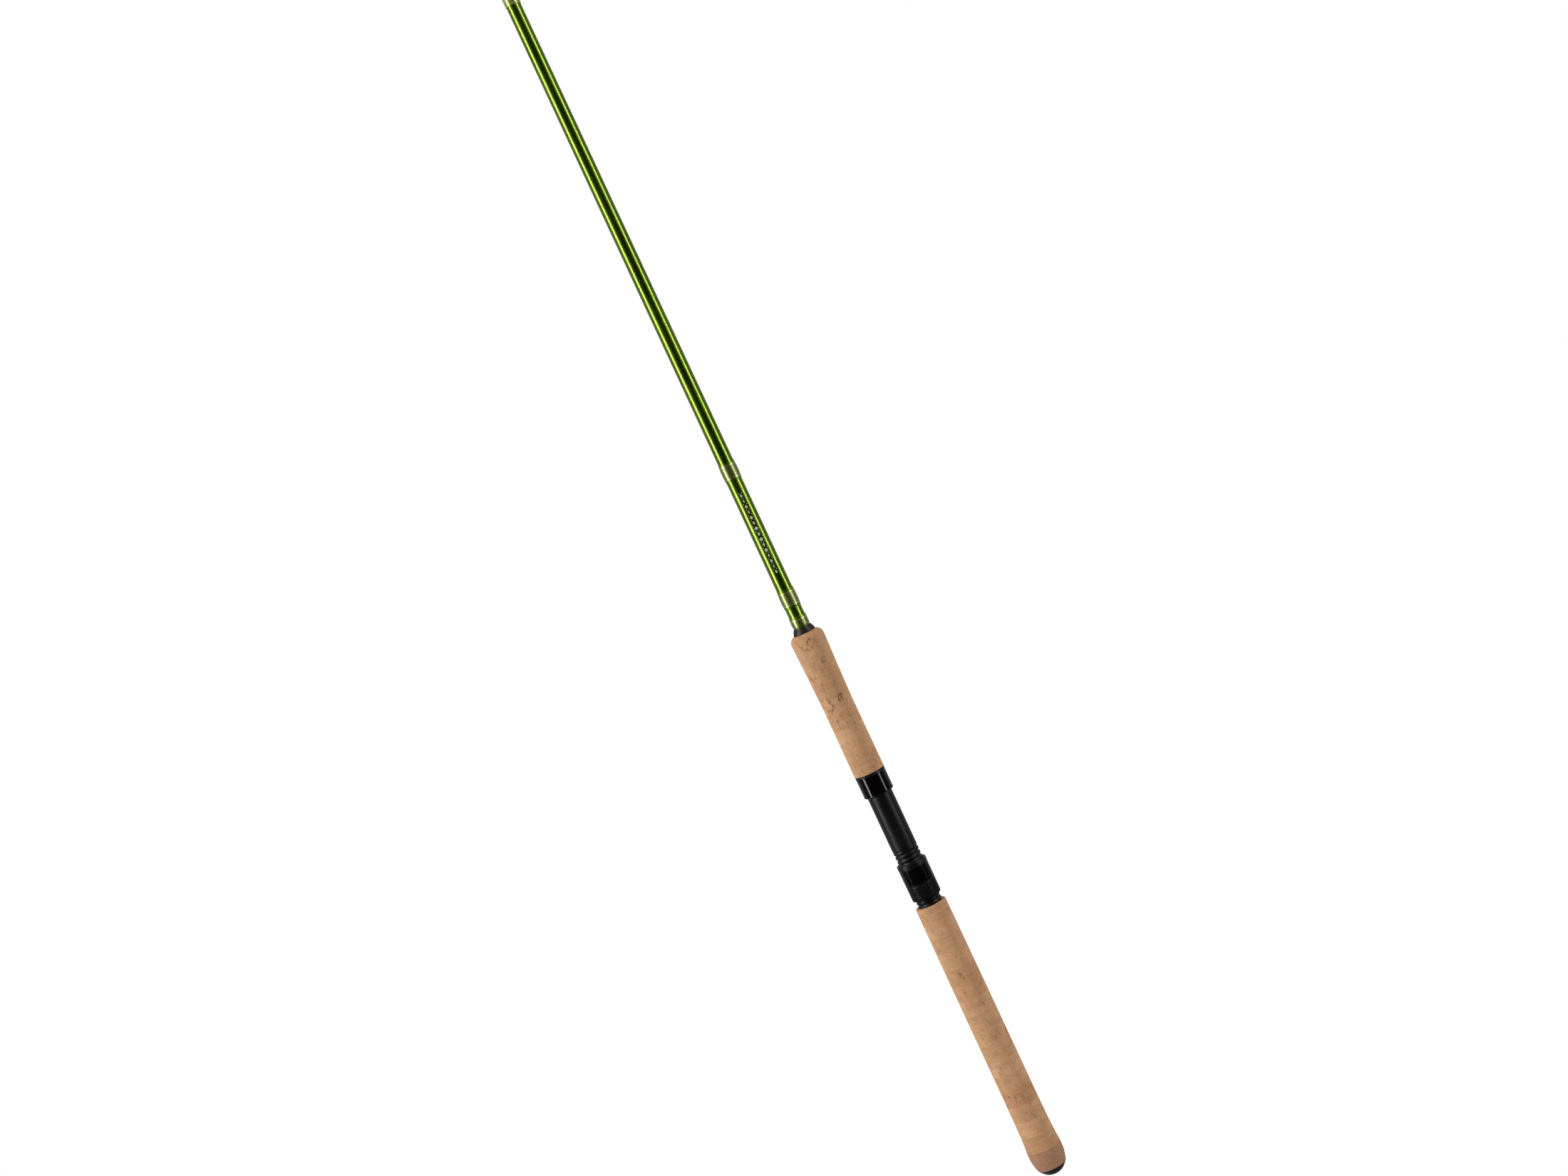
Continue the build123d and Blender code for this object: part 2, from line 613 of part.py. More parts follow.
tip_wraps = []
for number, (share, outer, height, feet) in enumerate(GUIDES, start=1):
    place = FIRST_GUIDE_Z + share * (ROD_LENGTH - FIRST_GUIDE_Z)
    on_butt = place < FERRULE_Z
    radius_at = blank_radius if on_butt else tip_radius
    centre_y = radius_at(place) + height
    width = guide_ring(place, outer, centre_y, f"guide_{number}_ring")
    frame_name = f"guide_{number}_frame"
    frame, reach = guide_frame(radius_at, place, outer, centre_y, feet, width, frame_name)
    wraps = guide_wraps(radius_at, place, frame, reach, feet)
    if on_butt:
        write_group(wraps, f"guide_{number}_wraps")
    else:
        tip_wraps += wraps
write_group(tip_wraps, "tip_guide_wraps")

# Tip-top: a tube glued over the tip blank's end, carrying a collar and a small ring
tip_ring_z = ROD_LENGTH - TIP_RING_WIDTH / 2
with BuildPart() as tip_top_ring:
    with BuildSketch(Plane.YZ) as tip_section:
        with Locations((TIP_RING_HEIGHT + TIP_RING_RADIUS - TIP_RING_WALL / 2, tip_ring_z)):
            Rectangle(TIP_RING_WALL, TIP_RING_WIDTH)
        fillet(tip_section.vertices(), TIP_RING_WALL * RING_EDGE_SHARE)
    revolve(axis=Axis((0, TIP_RING_HEIGHT, 0), (0, 0, 1)))
write(tip_top_ring, "tip_top_ring")

with BuildPart() as tip_top_frame:
    tube_radius = TIP_END_RADIUS + GLUE_GAP + TIP_TUBE_WALL
    with BuildSketch(Plane.XY.offset(TIP_TUBE_Z)):
        Circle(tube_radius)
    extrude(amount=TIP_TUBE_LENGTH + TIP_TUBE_WALL)
    collar_middle = TIP_RING_RADIUS + RING_GLUE_GAP + TIP_COLLAR_WALL / 2
    with BuildSketch(Plane.YZ):
        with Locations((TIP_RING_HEIGHT + collar_middle, tip_ring_z)):
            Rectangle(TIP_COLLAR_WALL, TIP_RING_WIDTH * GUIDE_COLLAR_WIDTH)
    revolve(axis=Axis((0, TIP_RING_HEIGHT, 0), (0, 0, 1)))
    ring_room = (0, TIP_RING_HEIGHT, tip_ring_z)
    for side in (-1, 0, 1):
        top = Vector(
            side * collar_middle * GUIDE_LEG_SPREAD,
            TIP_RING_HEIGHT - collar_middle * (GUIDE_LEG_DROP if side else 1),
            tip_ring_z,
        )
        bottom = Vector(
            side * tube_radius * TIP_STRUT_SPREAD,
            tube_radius * TIP_STRUT_LIFT,
            TIP_TUBE_Z + TIP_TUBE_LENGTH / 2,
        )
        with BuildLine():
            strut_path = Line(top, bottom)
        with BuildSketch(Plane(origin=top, z_dir=bottom - top)):
            Circle(GUIDE_LEG_RADIUS * TIP_STRUT_SHARE)
        sweep(path=strut_path)
    with Locations(ring_room):
        Cylinder(TIP_RING_RADIUS + RING_GLUE_GAP, 2 * TIP_RING_WIDTH, mode=Mode.SUBTRACT)
    bore_z = TIP_TUBE_Z - TIP_BORE_OVERRUN
    with BuildSketch(Plane.XZ):
        with BuildLine():
            Polyline(
                (0, bore_z),
                (tip_radius(bore_z) + GLUE_GAP, bore_z),
                (TIP_END_RADIUS + GLUE_GAP, TIP_BLANK_END_Z),
                (0, TIP_BLANK_END_Z),
                close=True,
            )
        make_face()
    revolve(axis=Axis.Z, mode=Mode.SUBTRACT)
write(tip_top_frame, "tip_top_frame")

tip_wrap_z = TIP_TUBE_Z - TIP_WRAP_LENGTH / 2
thread_wrap(tip_radius, tip_wrap_z, TIP_WRAP_LENGTH, TIP_WRAP_HEIGHT, "tip_top_wrap")
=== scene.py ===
import random
from math import asin, atan2, cos, exp, pi, radians, sin, tau

import bpy
import numpy as np
from mathutils import Matrix, Vector


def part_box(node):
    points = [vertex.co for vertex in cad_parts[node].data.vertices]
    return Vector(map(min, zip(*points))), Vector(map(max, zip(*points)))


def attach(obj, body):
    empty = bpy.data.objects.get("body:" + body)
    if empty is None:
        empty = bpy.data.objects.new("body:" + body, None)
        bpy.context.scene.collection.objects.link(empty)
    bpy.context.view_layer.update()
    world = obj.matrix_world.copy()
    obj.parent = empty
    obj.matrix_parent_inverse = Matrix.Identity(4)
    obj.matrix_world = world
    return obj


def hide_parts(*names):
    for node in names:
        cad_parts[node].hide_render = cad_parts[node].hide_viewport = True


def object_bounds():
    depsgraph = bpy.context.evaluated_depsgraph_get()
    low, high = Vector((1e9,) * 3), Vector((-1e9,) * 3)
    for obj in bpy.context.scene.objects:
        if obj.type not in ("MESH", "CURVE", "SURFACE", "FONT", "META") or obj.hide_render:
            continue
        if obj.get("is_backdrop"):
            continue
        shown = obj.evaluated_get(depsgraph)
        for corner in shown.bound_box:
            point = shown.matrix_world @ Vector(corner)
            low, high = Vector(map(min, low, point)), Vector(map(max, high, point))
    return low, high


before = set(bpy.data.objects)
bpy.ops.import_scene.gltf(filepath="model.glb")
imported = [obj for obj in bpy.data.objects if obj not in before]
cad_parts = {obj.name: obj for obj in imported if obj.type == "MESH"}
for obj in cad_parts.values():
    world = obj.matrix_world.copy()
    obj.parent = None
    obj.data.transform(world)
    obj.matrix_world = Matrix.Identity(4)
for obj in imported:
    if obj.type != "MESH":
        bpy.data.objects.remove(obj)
cad_low, cad_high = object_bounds()

# ------------------------------------------------------------------ Studio
# The rod stands on a small pale floor in front of plain white. Two tall strip boxes, one on
# each side of the camera, draw the long highlights. They stop just above the floor.
scene = bpy.context.scene
scene.view_settings.view_transform = "Standard"
scene.view_settings.look = "None"

camera_data = bpy.data.cameras.new("camera")
camera = bpy.data.objects.new("camera", camera_data)
scene.collection.objects.link(camera)
scene.camera = camera
camera_data.sensor_width = 36.0
camera_data.lens = 53.71
camera_data.clip_start = 0.05
camera_data.clip_end = 60.0
eye = Vector((0.0, -1.76, 0.638))
aim = Vector((0.0, 0.0, 0.498))
lean = radians(24.917)
upright = (aim - eye).to_track_quat("-Z", "Y").to_matrix().to_4x4()
camera.matrix_world = Matrix.Translation(eye) @ upright @ Matrix.Rotation(-lean, 4, "Z")


def strip_box(name, azimuth, power):
    """A tall soft box at an angle from the camera's side, aimed at the rod."""
    distance, width, low, high = 1.3, 0.22, 0.05, 3.25
    data = bpy.data.lights.new(name, "AREA")
    data.shape = "RECTANGLE"
    data.size = width
    data.size_y = high - low
    data.energy = power
    box = bpy.data.objects.new(name, data)
    scene.collection.objects.link(box)
    angle = radians(azimuth)
    box.location = (distance * sin(angle), -distance * cos(angle), (low + high) / 2)
    towards = Vector((-sin(angle), cos(angle), 0.0))
    box.rotation_euler = towards.to_track_quat("-Z", "Y").to_euler()
    box.visible_camera = False


strip_box("left_strip", -66, 38)
strip_box("right_strip", 61, 21)


def add(tree, kind, inputs=None, **settings):
    """A shader node with its settings, its inputs set to values or linked from outputs."""
    made = tree.nodes.new("ShaderNode" + kind)
    for name, value in settings.items():
        setattr(made, name, value)
    for socket, value in (inputs or {}).items():
        if isinstance(value, bpy.types.NodeSocket):
            tree.links.new(value, made.inputs[socket])
        else:
            made.inputs[socket].default_value = value
    return made


white = (1.0, 1.0, 1.0, 1.0)
world = bpy.data.worlds.new("studio_air")
scene.world = world
world.use_nodes = True
air = world.node_tree
air.nodes.clear()
direction = add(air, "TexCoord").outputs["Generated"]
depth = add(air, "SeparateXYZ", {"Vector": direction}).outputs["Y"]
glow = add(air, "MapRange", {"Value": depth, "From Min": -0.2, "From Max": 0.6, "To Min": 0.006,
                             "To Max": 0.52}).outputs["Result"]
fill = add(air, "MapRange", {"Value": depth, "From Min": -0.6, "From Max": 0.6, "To Min": 0.04,
                             "To Max": 1.05}).outputs["Result"]
path = add(air, "LightPath").outputs
strength = add(air, "Mix", {"Factor": path["Is Diffuse Ray"], 2: glow, 3: fill}).outputs[0]
lit = add(air, "Background", {"Strength": strength}).outputs["Background"]
seen = add(air, "Background", {"Color": white}).outputs["Background"]
sky = add(air, "MixShader", {"Fac": path["Is Camera Ray"], 1: lit, 2: seen}).outputs["Shader"]
add(air, "OutputWorld", {"Surface": sky})

floor_radius = 0.8
bpy.ops.object.select_all(action="DESELECT")
bpy.ops.mesh.primitive_circle_add(
    vertices=96, radius=floor_radius, fill_type="NGON", location=(0, 0, cad_low.z - 0.0005)
)
floor = bpy.context.object
floor.name = "floor"
bpy.ops.object.transform_apply(location=True)
floor_finish = bpy.data.materials.new("pale_floor")
floor_finish.use_nodes = True
paint = floor_finish.node_tree
paint.nodes.clear()
matt = add(paint, "BsdfDiffuse", {"Color": (0.8, 0.79, 0.77, 1.0)}).outputs["BSDF"]
bright = add(paint, "Emission", {"Color": white}).outputs["Emission"]
to_camera = add(paint, "LightPath").outputs["Is Camera Ray"]
floor_mix = add(paint, "MixShader", {"Fac": to_camera, 1: matt, 2: bright}).outputs["Shader"]
add(paint, "OutputMaterial", {"Surface": floor_mix})
floor.data.materials.append(floor_finish)
floor.visible_glossy = False
floor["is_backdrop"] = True

# ------------------------------------------------------------------ Butt blank
# A tapered tube of carbon cloth, rolled on a steel mandrel, baked and sanded. It is sprayed with
# candy green lacquer over a bright base, so it flashes green where it mirrors light and goes
# almost black where it mirrors none.
blank_butt_radius = 0.00697
blank_taper = 0.00138
blank_wall = 0.00095


def blank_radius(z):
    """Outer radius of the butt blank at height z."""
    return blank_butt_radius - blank_taper * z


def turned(name, outline, facets=96):
    """Turn a closed outline of (radius, height) points round the rod's axis, as on a lathe."""
    radius, height = outline[0]
    bpy.ops.object.select_all(action="DESELECT")
    bpy.ops.mesh.primitive_circle_add(vertices=facets, radius=radius, location=(0, 0, height))
    piece = bpy.context.object
    piece.name = name
    bpy.ops.object.transform_apply(location=True)
    bpy.context.tool_settings.mesh_select_mode = (True, False, False)
    bpy.ops.object.mode_set(mode="EDIT")
    bpy.ops.mesh.select_all(action="SELECT")
    for next_radius, next_height in outline[1:] + outline[:1]:
        rise = (0, 0, next_height - height)
        bpy.ops.mesh.extrude_region_move(TRANSFORM_OT_translate={"value": rise})
        swell = next_radius / radius
        bpy.ops.transform.resize(value=(swell, swell, 1), center_override=(0, 0, next_height))
        radius, height = next_radius, next_height
    close_mesh()
    return piece


def close_mesh():
    """Merge the doubles of the mesh being edited, point its faces outwards and leave it."""
    bpy.ops.mesh.select_all(action="SELECT")
    bpy.ops.mesh.remove_doubles(threshold=1e-6)
    bpy.ops.mesh.normals_make_consistent(inside=False)
    bpy.ops.object.mode_set(mode="OBJECT")


def fit(piece, finish, body, slot, *nodes, crease=35):
    """Give a finished piece its material, its body and the nodes it stands for. The slot is not used."""
    if finish.name not in piece.data.materials:
        piece.data.materials.append(finish)
    bpy.ops.object.select_all(action="DESELECT")
    piece.select_set(True)
    bpy.context.view_layer.objects.active = piece
    bpy.ops.object.shade_smooth_by_angle(angle=radians(crease))
    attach(piece, body)
    if nodes:
        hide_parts(*nodes)


def surface(name):
    """A new material: its node tree, its shader, and the piece's own coordinates."""
    material = bpy.data.materials.new(name)
    material.use_nodes = True
    tree = material.node_tree
    place = add(tree, "TexCoord").outputs["Object"]
    return material, tree, tree.nodes["Principled BSDF"], place


def ramp(tree, value, low, high, start, end):
    """Map a value from low..high to start..end, held at both ends."""
    spread = {"Value": value, "From Min": low, "From Max": high, "To Min": start, "To Max": end}
    return add(tree, "MapRange", spread).outputs["Result"]


def blend(tree, share, first, second, mode="MIX"):
    """Mix two colours, each a value or another node's output."""
    inputs = {"Factor": share, 6: first, 7: second}
    return add(tree, "Mix", inputs, data_type="RGBA", blend_type=mode).outputs[2]


def noise(tree, place, scale, detail=2.0, rough=0.5):
    """A noise value over the given coordinates."""
    inputs = {"Vector": place, "Scale": scale, "Detail": detail, "Roughness": rough}
    return add(tree, "TexNoise", inputs).outputs["Fac"]


def stretch(tree, place, scale):
    """Coordinates scaled by a different amount along each axis."""
    return add(tree, "Mapping", {"Vector": place, "Scale": scale}).outputs["Vector"]


def bump(tree, shader, height, distance, strength=1.0):
    """Feed a height to the shader's normal."""
    inputs = {"Height": height, "Distance": distance, "Strength": strength}
    made = add(tree, "Bump", inputs)
    tree.links.new(made.outputs["Normal"], shader.inputs["Normal"])


# A shared effect: handling marks, a soft mottle from wiping and fingers that varies the gloss.
handling = bpy.data.node_groups.new("handling_marks", "ShaderNodeTree")
for socket, kind in (("Vector", "NodeSocketVector"), ("Clean", "NodeSocketFloat"),
                     ("Marked", "NodeSocketFloat")):
    handling.interface.new_socket(socket, in_out="INPUT", socket_type=kind)
handling.interface.new_socket("Roughness", in_out="OUTPUT", socket_type="NodeSocketFloat")
marks_in = handling.nodes.new("NodeGroupInput")
marks_out = handling.nodes.new("NodeGroupOutput")
broad = noise(handling, marks_in.outputs["Vector"], 55.0, 3.0)
fine = noise(handling, marks_in.outputs["Vector"], 900.0, 2.0)
both = add(handling, "Math", {0: broad, 1: fine}, operation="MULTIPLY").outputs["Value"]
marked = add(handling, "MapRange", {"Value": both, "From Min": 0.16, "From Max": 0.36,
                                    "To Min": marks_in.outputs["Clean"],
                                    "To Max": marks_in.outputs["Marked"]})
handling.links.new(marked.outputs["Result"], marks_out.inputs["Roughness"])


def handled(tree, shader, place, clean, marked):
    """Vary a shader's roughness between clean and marked with the shared handling marks."""
    group = tree.nodes.new("ShaderNodeGroup")
    group.node_tree = handling
    tree.links.new(place, group.inputs["Vector"])
    group.inputs["Clean"].default_value = clean
    group.inputs["Marked"].default_value = marked
    tree.links.new(group.outputs["Roughness"], shader.inputs["Roughness"])


def candy_green(tree, place):
    """The lacquer's colour: a deep green with slow clouds and fine bright flakes."""
    clouds = noise(tree, stretch(tree, place, (1.0, 1.0, 0.25)), 70.0, 3.0)
    tone = blend(tree, clouds, (0.135, 0.235, 0.006, 1.0), (0.165, 0.28, 0.010, 1.0))
    flakes = add(tree, "TexVoronoi", {"Vector": place, "Scale": 5200.0}).outputs["Distance"]
    glint = ramp(tree, flakes, 0.05, 0.22, 0.1, 0.0)
    return blend(tree, glint, tone, (0.28, 0.40, 0.06, 1.0))


lacquer, tree, shader, place = surface("candy_green_lacquer")
tree.links.new(candy_green(tree, place), shader.inputs["Base Color"])
handled(tree, shader, place, 0.28, 0.33)
shader.inputs["Metallic"].default_value = 1.0
shader.inputs["Coat Weight"].default_value = 0.5
shader.inputs["Coat Roughness"].default_value = 0.12
rolled = stretch(tree, place, (1.0, 1.0, 0.12))
bump(tree, shader, noise(tree, rolled, 300.0, 2.0), 0.00001, 0.08)

low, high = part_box("butt_blank")
blank_low, blank_high = low.z, high.z
rim = 0.0003
butt_blank = turned("blank_butt", [
    (blank_radius(blank_low) - blank_wall, blank_low),
    (blank_radius(blank_low), blank_low),
    (blank_radius(blank_high - rim), blank_high - rim),
    (blank_radius(blank_high) - rim, blank_high),
    (blank_radius(blank_high) - blank_wall, blank_high),
])
fit(butt_blank, lacquer, "butt_section", "blank_lacquer", "butt_blank")

# ------------------------------------------------------------------ Silver ornament
# A row of lozenges in silver foil, pressed on the blank's upper side and sealed under the
# lacquer. It is a plain pattern that grows to the middle and fades to both ends.
ornament_low, ornament_high = 0.510, 0.577
lozenge_count = 15
lozenge_across = 0.0019
foil_lift = 0.00003
foil, tree, shader, place = surface("silver_foil")
worn = noise(tree, place, 1500.0, 3.0)
tree.links.new(blend(tree, worn, (0.42, 0.44, 0.40, 1.0), (0.72, 0.74, 0.68, 1.0)),
               shader.inputs["Base Color"])
handled(tree, shader, place, 0.35, 0.5)
shader.inputs["Metallic"].default_value = 0.35
bump(tree, shader, worn, 0.00002)

middle = (ornament_low + ornament_high) / 2
bpy.ops.object.select_all(action="DESELECT")
bpy.ops.mesh.primitive_plane_add(size=0.0001, location=(0, -blank_radius(middle), middle))
ornament = bpy.context.object
ornament.name = "ornament_foil"
bpy.ops.object.transform_apply(location=True)
bpy.ops.object.mode_set(mode="EDIT")
bpy.ops.mesh.select_all(action="SELECT")
bpy.ops.mesh.delete(type="VERT")
pitch = (ornament_high - ornament_low) / lozenge_count
for index in range(lozenge_count):
    z = ornament_low + (index + 0.5) * pitch
    share = 1.0 - abs(index - (lozenge_count - 1) / 2) / (lozenge_count / 2)
    across = lozenge_across * (0.45 + 0.55 * share) * (0.62 if index % 2 else 1.0)
    y = -blank_radius(z) - 0.0002
    for side, size, along in ((0, across, 0.36 * pitch), (-1, 0.0003, 0.0005), (1, 0.0003, 0.0005)):
        x = side * (across + 0.0001)
        at = (x, y, z + (pitch / 2 if side else 0))
        bpy.ops.mesh.select_all(action="DESELECT")
        bpy.ops.mesh.primitive_circle_add(
            vertices=4, radius=1.0, fill_type="NGON", location=at, rotation=(pi / 2, 0, 0)
        )
        bpy.ops.transform.resize(value=(size, 1, along), center_override=at)
bpy.ops.mesh.select_all(action="SELECT")
bpy.ops.mesh.subdivide(number_cuts=5)
bpy.ops.object.mode_set(mode="OBJECT")


def apply_modifiers(piece):
    """Apply all of a piece's modifiers in order."""
    bpy.ops.object.select_all(action="DESELECT")
    piece.select_set(True)
    bpy.context.view_layer.objects.active = piece
    for modifier in list(piece.modifiers):
        bpy.ops.object.modifier_apply(modifier=modifier.name)


wrap_round = ornament.modifiers.new("lay_on_blank", "SHRINKWRAP")
wrap_round.target = butt_blank
wrap_round.offset = foil_lift
thicken = ornament.modifiers.new("foil", "SOLIDIFY")
thicken.thickness = foil_lift
thicken.offset = 0.0
apply_modifiers(ornament)
fit(ornament, foil, "butt_section", "blank_lacquer")

# ------------------------------------------------------------------ Trim wraps
# Bands of olive thread wound round the blank, each ended by a few turns of silver thread, under
# a lens of clear epoxy that runs out on to the lacquer on both sides.
thread_pitch = 0.00028
trim_turns = 0.00045


def eased(points, radii, steps=5):
    """Round the corners of a closed outline. A radius of 0 leaves its corner sharp."""
    result = []
    for index, (corner, radius) in enumerate(zip(points, radii)):
        if not radius:
            result.append(corner)
            continue
        corner = Vector(corner)
        before = Vector(points[index - 1]) - corner
        after = Vector(points[(index + 1) % len(points)]) - corner
        start = corner + before.normalized() * min(radius, 0.98 * before.length)
        end = corner + after.normalized() * min(radius, 0.98 * after.length)
        for step in range(steps + 1):
            t = step / steps
            pull = 1.414 * t * (1 - t)
            point = start * (1 - t) ** 2 + corner * pull + end * t * t
            result.append(tuple(point / ((1 - t) ** 2 + pull + t * t)))
    return result


def wrap_finish(name, low, high, thread, trim, under):
    """Thread between two heights, with trim turns at both ends, under clear epoxy."""
    material, tree, shader, place = surface(name)
    z = add(tree, "SeparateXYZ", {"Vector": place}).outputs["Z"]
    turns = add(tree, "Math", {0: z, 1: tau / thread_pitch}, operation="MULTIPLY").outputs["Value"]
    ridge = add(tree, "Math", {0: turns}, operation="SINE").outputs["Value"]
    half = (high - low) / 2
    offset = add(tree, "Math", {0: z, 1: (low + high) / 2}, operation="SUBTRACT").outputs["Value"]
    away = add(tree, "Math", {0: offset}, operation="ABSOLUTE").outputs["Value"]
    ragged = noise(tree, place, 700.0, 2.0)
    edge = add(tree, "Math", {0: ragged, 1: 0.00035, 2: away}, operation="MULTIPLY_ADD")
    away = edge.outputs["Value"]
    bound = ramp(tree, away, half + 0.00015, half + 0.00022, 1.0, 0.0)
    ends = ramp(tree, away, half - trim_turns, half - trim_turns + 0.0001, 0.0, 1.0)
    mottle = noise(tree, stretch(tree, place, (1.0, 1.0, 4.0)), 380.0, 3.0)
    # Painted shade: the grooves between thread turns are darkened in colour, beside the real ridges that the bump
    # draws.
    groove_shade_mask = ramp(tree, ridge, -1.0, 1.0, 0.0, 0.6)
    cloth = blend(tree, groove_shade_mask, tuple(0.55 * c for c in thread[:3]) + (1.0,), thread)
    cloth = blend(tree, ramp(tree, mottle, 0.35, 0.7, 0.0, 0.5), cloth, under)
    cloth = blend(tree, ends, cloth, trim)
    tree.links.new(blend(tree, bound, candy_green(tree, place), cloth), shader.inputs["Base Color"])
    handled(tree, shader, place, 0.35, 0.42)
    metal = ramp(tree, bound, 0.0, 1.0, 1.0, 0.96)
    tree.links.new(metal, shader.inputs["Metallic"])
    shader.inputs["Coat Weight"].default_value = 0.6
    shader.inputs["Coat Roughness"].default_value = 0.12
    raised = add(tree, "Math", {0: ridge, 1: bound}, operation="MULTIPLY").outputs["Value"]
    bump(tree, shader, raised, 0.00001, 0.15)
    return material


def wrap_sleeve(name, radius_at, low, high, height, edge=0.0001):
    """A lens of epoxy round a blank between two heights, thin at its ends."""
    length = high - low
    rows = 24
    outline = [(radius_at(low) + 0.00003, low)]
    for step in range(rows + 1):
        t = step / rows
        z = low + t * length
        crown = min(1.0, 4.0 * t * (1.0 - t)) ** 0.7
        outline.append((radius_at(z) + edge + (height - edge) * crown, z))
    outline.append((radius_at(high) + 0.00003, high))
    return turned(name, outline)


olive = (0.38, 0.42, 0.13, 1.0)
silver_thread = (0.52, 0.56, 0.32, 1.0)
# The darker olive is a random mottle in the trim wraps, and painted shade in the grooves between turns of the
# foot wraps.
groove_shade_and_mottle = (0.24, 0.28, 0.06, 1.0)
trim_height = 0.00056
trim_bands = {
    "lower": (0.4650, 0.4727),
    "middle": (0.4841, 0.4948),
    "upper": (0.5895, 0.6002),
}
for place_name, (band_low, band_high) in trim_bands.items():
    node = f"trim_wrap_{place_name}"
    low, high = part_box(node)
    sleeve = wrap_sleeve(f"trim_{place_name}", blank_radius, low.z, high.z, trim_height)
    finish = wrap_finish(f"trim_thread_{place_name}", band_low, band_high, olive, silver_thread, groove_shade_and_mottle)
    fit(sleeve, finish, "butt_section", "thread_and_epoxy", node)

# ------------------------------------------------------------------ Cork grips
# Each grip is a stack of natural cork rings, bored, glued on the blank and turned to shape
# together, then sanded. Every ring keeps its own tone and its own dark pores.
bore_gap = 0.00005
rear_low, rear_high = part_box("rear_cork_ring_01")[0].z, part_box("rear_cork_ring_16")[1].z
fore_low, fore_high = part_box("fore_cork_ring_01")[0].z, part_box("fore_cork_ring_09")[1].z


def rear_radius(z):
    """The rear grip: almost straight, with a short flare down to the butt."""
    up = z - rear_low
    share = up / (rear_high - rear_low)
    return 0.0123 + 0.0004 * (1.0 - share ** 1.8) + 0.00115 * exp(-up / 0.0105)


def fore_radius(z):
    """The foregrip: straight, then swelling to a bulb at its front."""
    waist = 0.396
    if z < waist:
        return 0.01188 + 0.00012 * (waist - z) / (waist - fore_low)
    return 0.01188 + 0.00164 * ((z - waist) / (fore_high - waist)) ** 1.38


def select_faces(piece, wanted):
    """Select only the faces whose centre and normal pass the test."""
    mesh = piece.data
    mesh.vertices.foreach_set("select", [False] * len(mesh.vertices))
    mesh.edges.foreach_set("select", [False] * len(mesh.edges))
    mesh.polygons.foreach_set("select", [wanted(f.center, f.normal) for f in mesh.polygons])
    bpy.context.tool_settings.mesh_select_mode = (False, False, True)
    bpy.ops.object.select_all(action="DESELECT")
    piece.select_set(True)
    bpy.context.view_layer.objects.active = piece


def select_points(piece, wanted):
    """Select only the points that pass the test."""
    mesh = piece.data
    mesh.edges.foreach_set("select", [False] * len(mesh.edges))
    mesh.polygons.foreach_set("select", [False] * len(mesh.polygons))
    mesh.vertices.foreach_set("select", [wanted(v.co) for v in mesh.vertices])
    bpy.context.tool_settings.mesh_select_mode = (True, False, False)
    bpy.ops.object.select_all(action="DESELECT")
    piece.select_set(True)
    bpy.context.view_layer.objects.active = piece


def pore_marks(chance, low, high, patches, loose, spread):
    """Choose pores for one ring: (angle, height, half width, half length, depth) each."""
    marks = []
    for patch in range(patches):
        angle = chance.uniform(-spread, spread) - pi / 2
        height = chance.uniform(low, high)
        for _ in range(chance.randint(5, 12)):
            marks.append((angle + chance.gauss(0, 0.16), height + chance.gauss(0, 0.0016)))
    for _ in range(loose):
        marks.append((chance.uniform(-pi, pi), chance.uniform(low, high)))
    pores = []
    for angle, height in marks:
        size = chance.uniform(0.35, 1.0) ** 1.5
        pores.append((angle, height, 0.00013 + 0.00016 * size, 0.0003 + 0.0016 * size,
                      0.00008 + 0.0002 * size))
    return pores


def press_pores(piece, pores, low, high, ring_number):
    """Sink the pores into a ring's wall, and keep their marks and the ring's number."""
    mesh = piece.data
    count = len(mesh.vertices)
    points = np.empty(count * 3)
    mesh.vertices.foreach_get("co", points)
    points = points.reshape(-1, 3)
    radius = np.hypot(points[:, 0], points[:, 1])
    angle = np.arctan2(points[:, 1], points[:, 0])
    mark = np.zeros(count)
    sink = np.zeros(count)
    for at, height, half_width, half_length, depth in pores:
        turn = (angle - at + pi) % tau - pi
        across = turn * radius / half_width
        along = (points[:, 2] - height) / half_length
        hole = np.clip(1.25 - across ** 2 - along ** 2, 0.0, 1.0)
        mark = np.maximum(mark, hole)
        sink = np.maximum(sink, hole * depth)
    outside = radius > radius.max() - 0.003
    sink *= outside
    shrink = (radius - sink) / radius
    points[:, 0] *= shrink
    points[:, 1] *= shrink
    seam = np.minimum(points[:, 2] - low, high - points[:, 2])
    mark = np.maximum(mark * outside, np.clip(1.0 - seam / 0.0002, 0.0, 1.0) * 0.16)
    mesh.vertices.foreach_set("co", points.ravel())
    mesh.attributes.new("pore", "FLOAT", "POINT").data.foreach_set("value", mark)
    number = np.full(count, float(ring_number))
    mesh.attributes.new("ring", "FLOAT", "POINT").data.foreach_set("value", number)
    mesh.update()


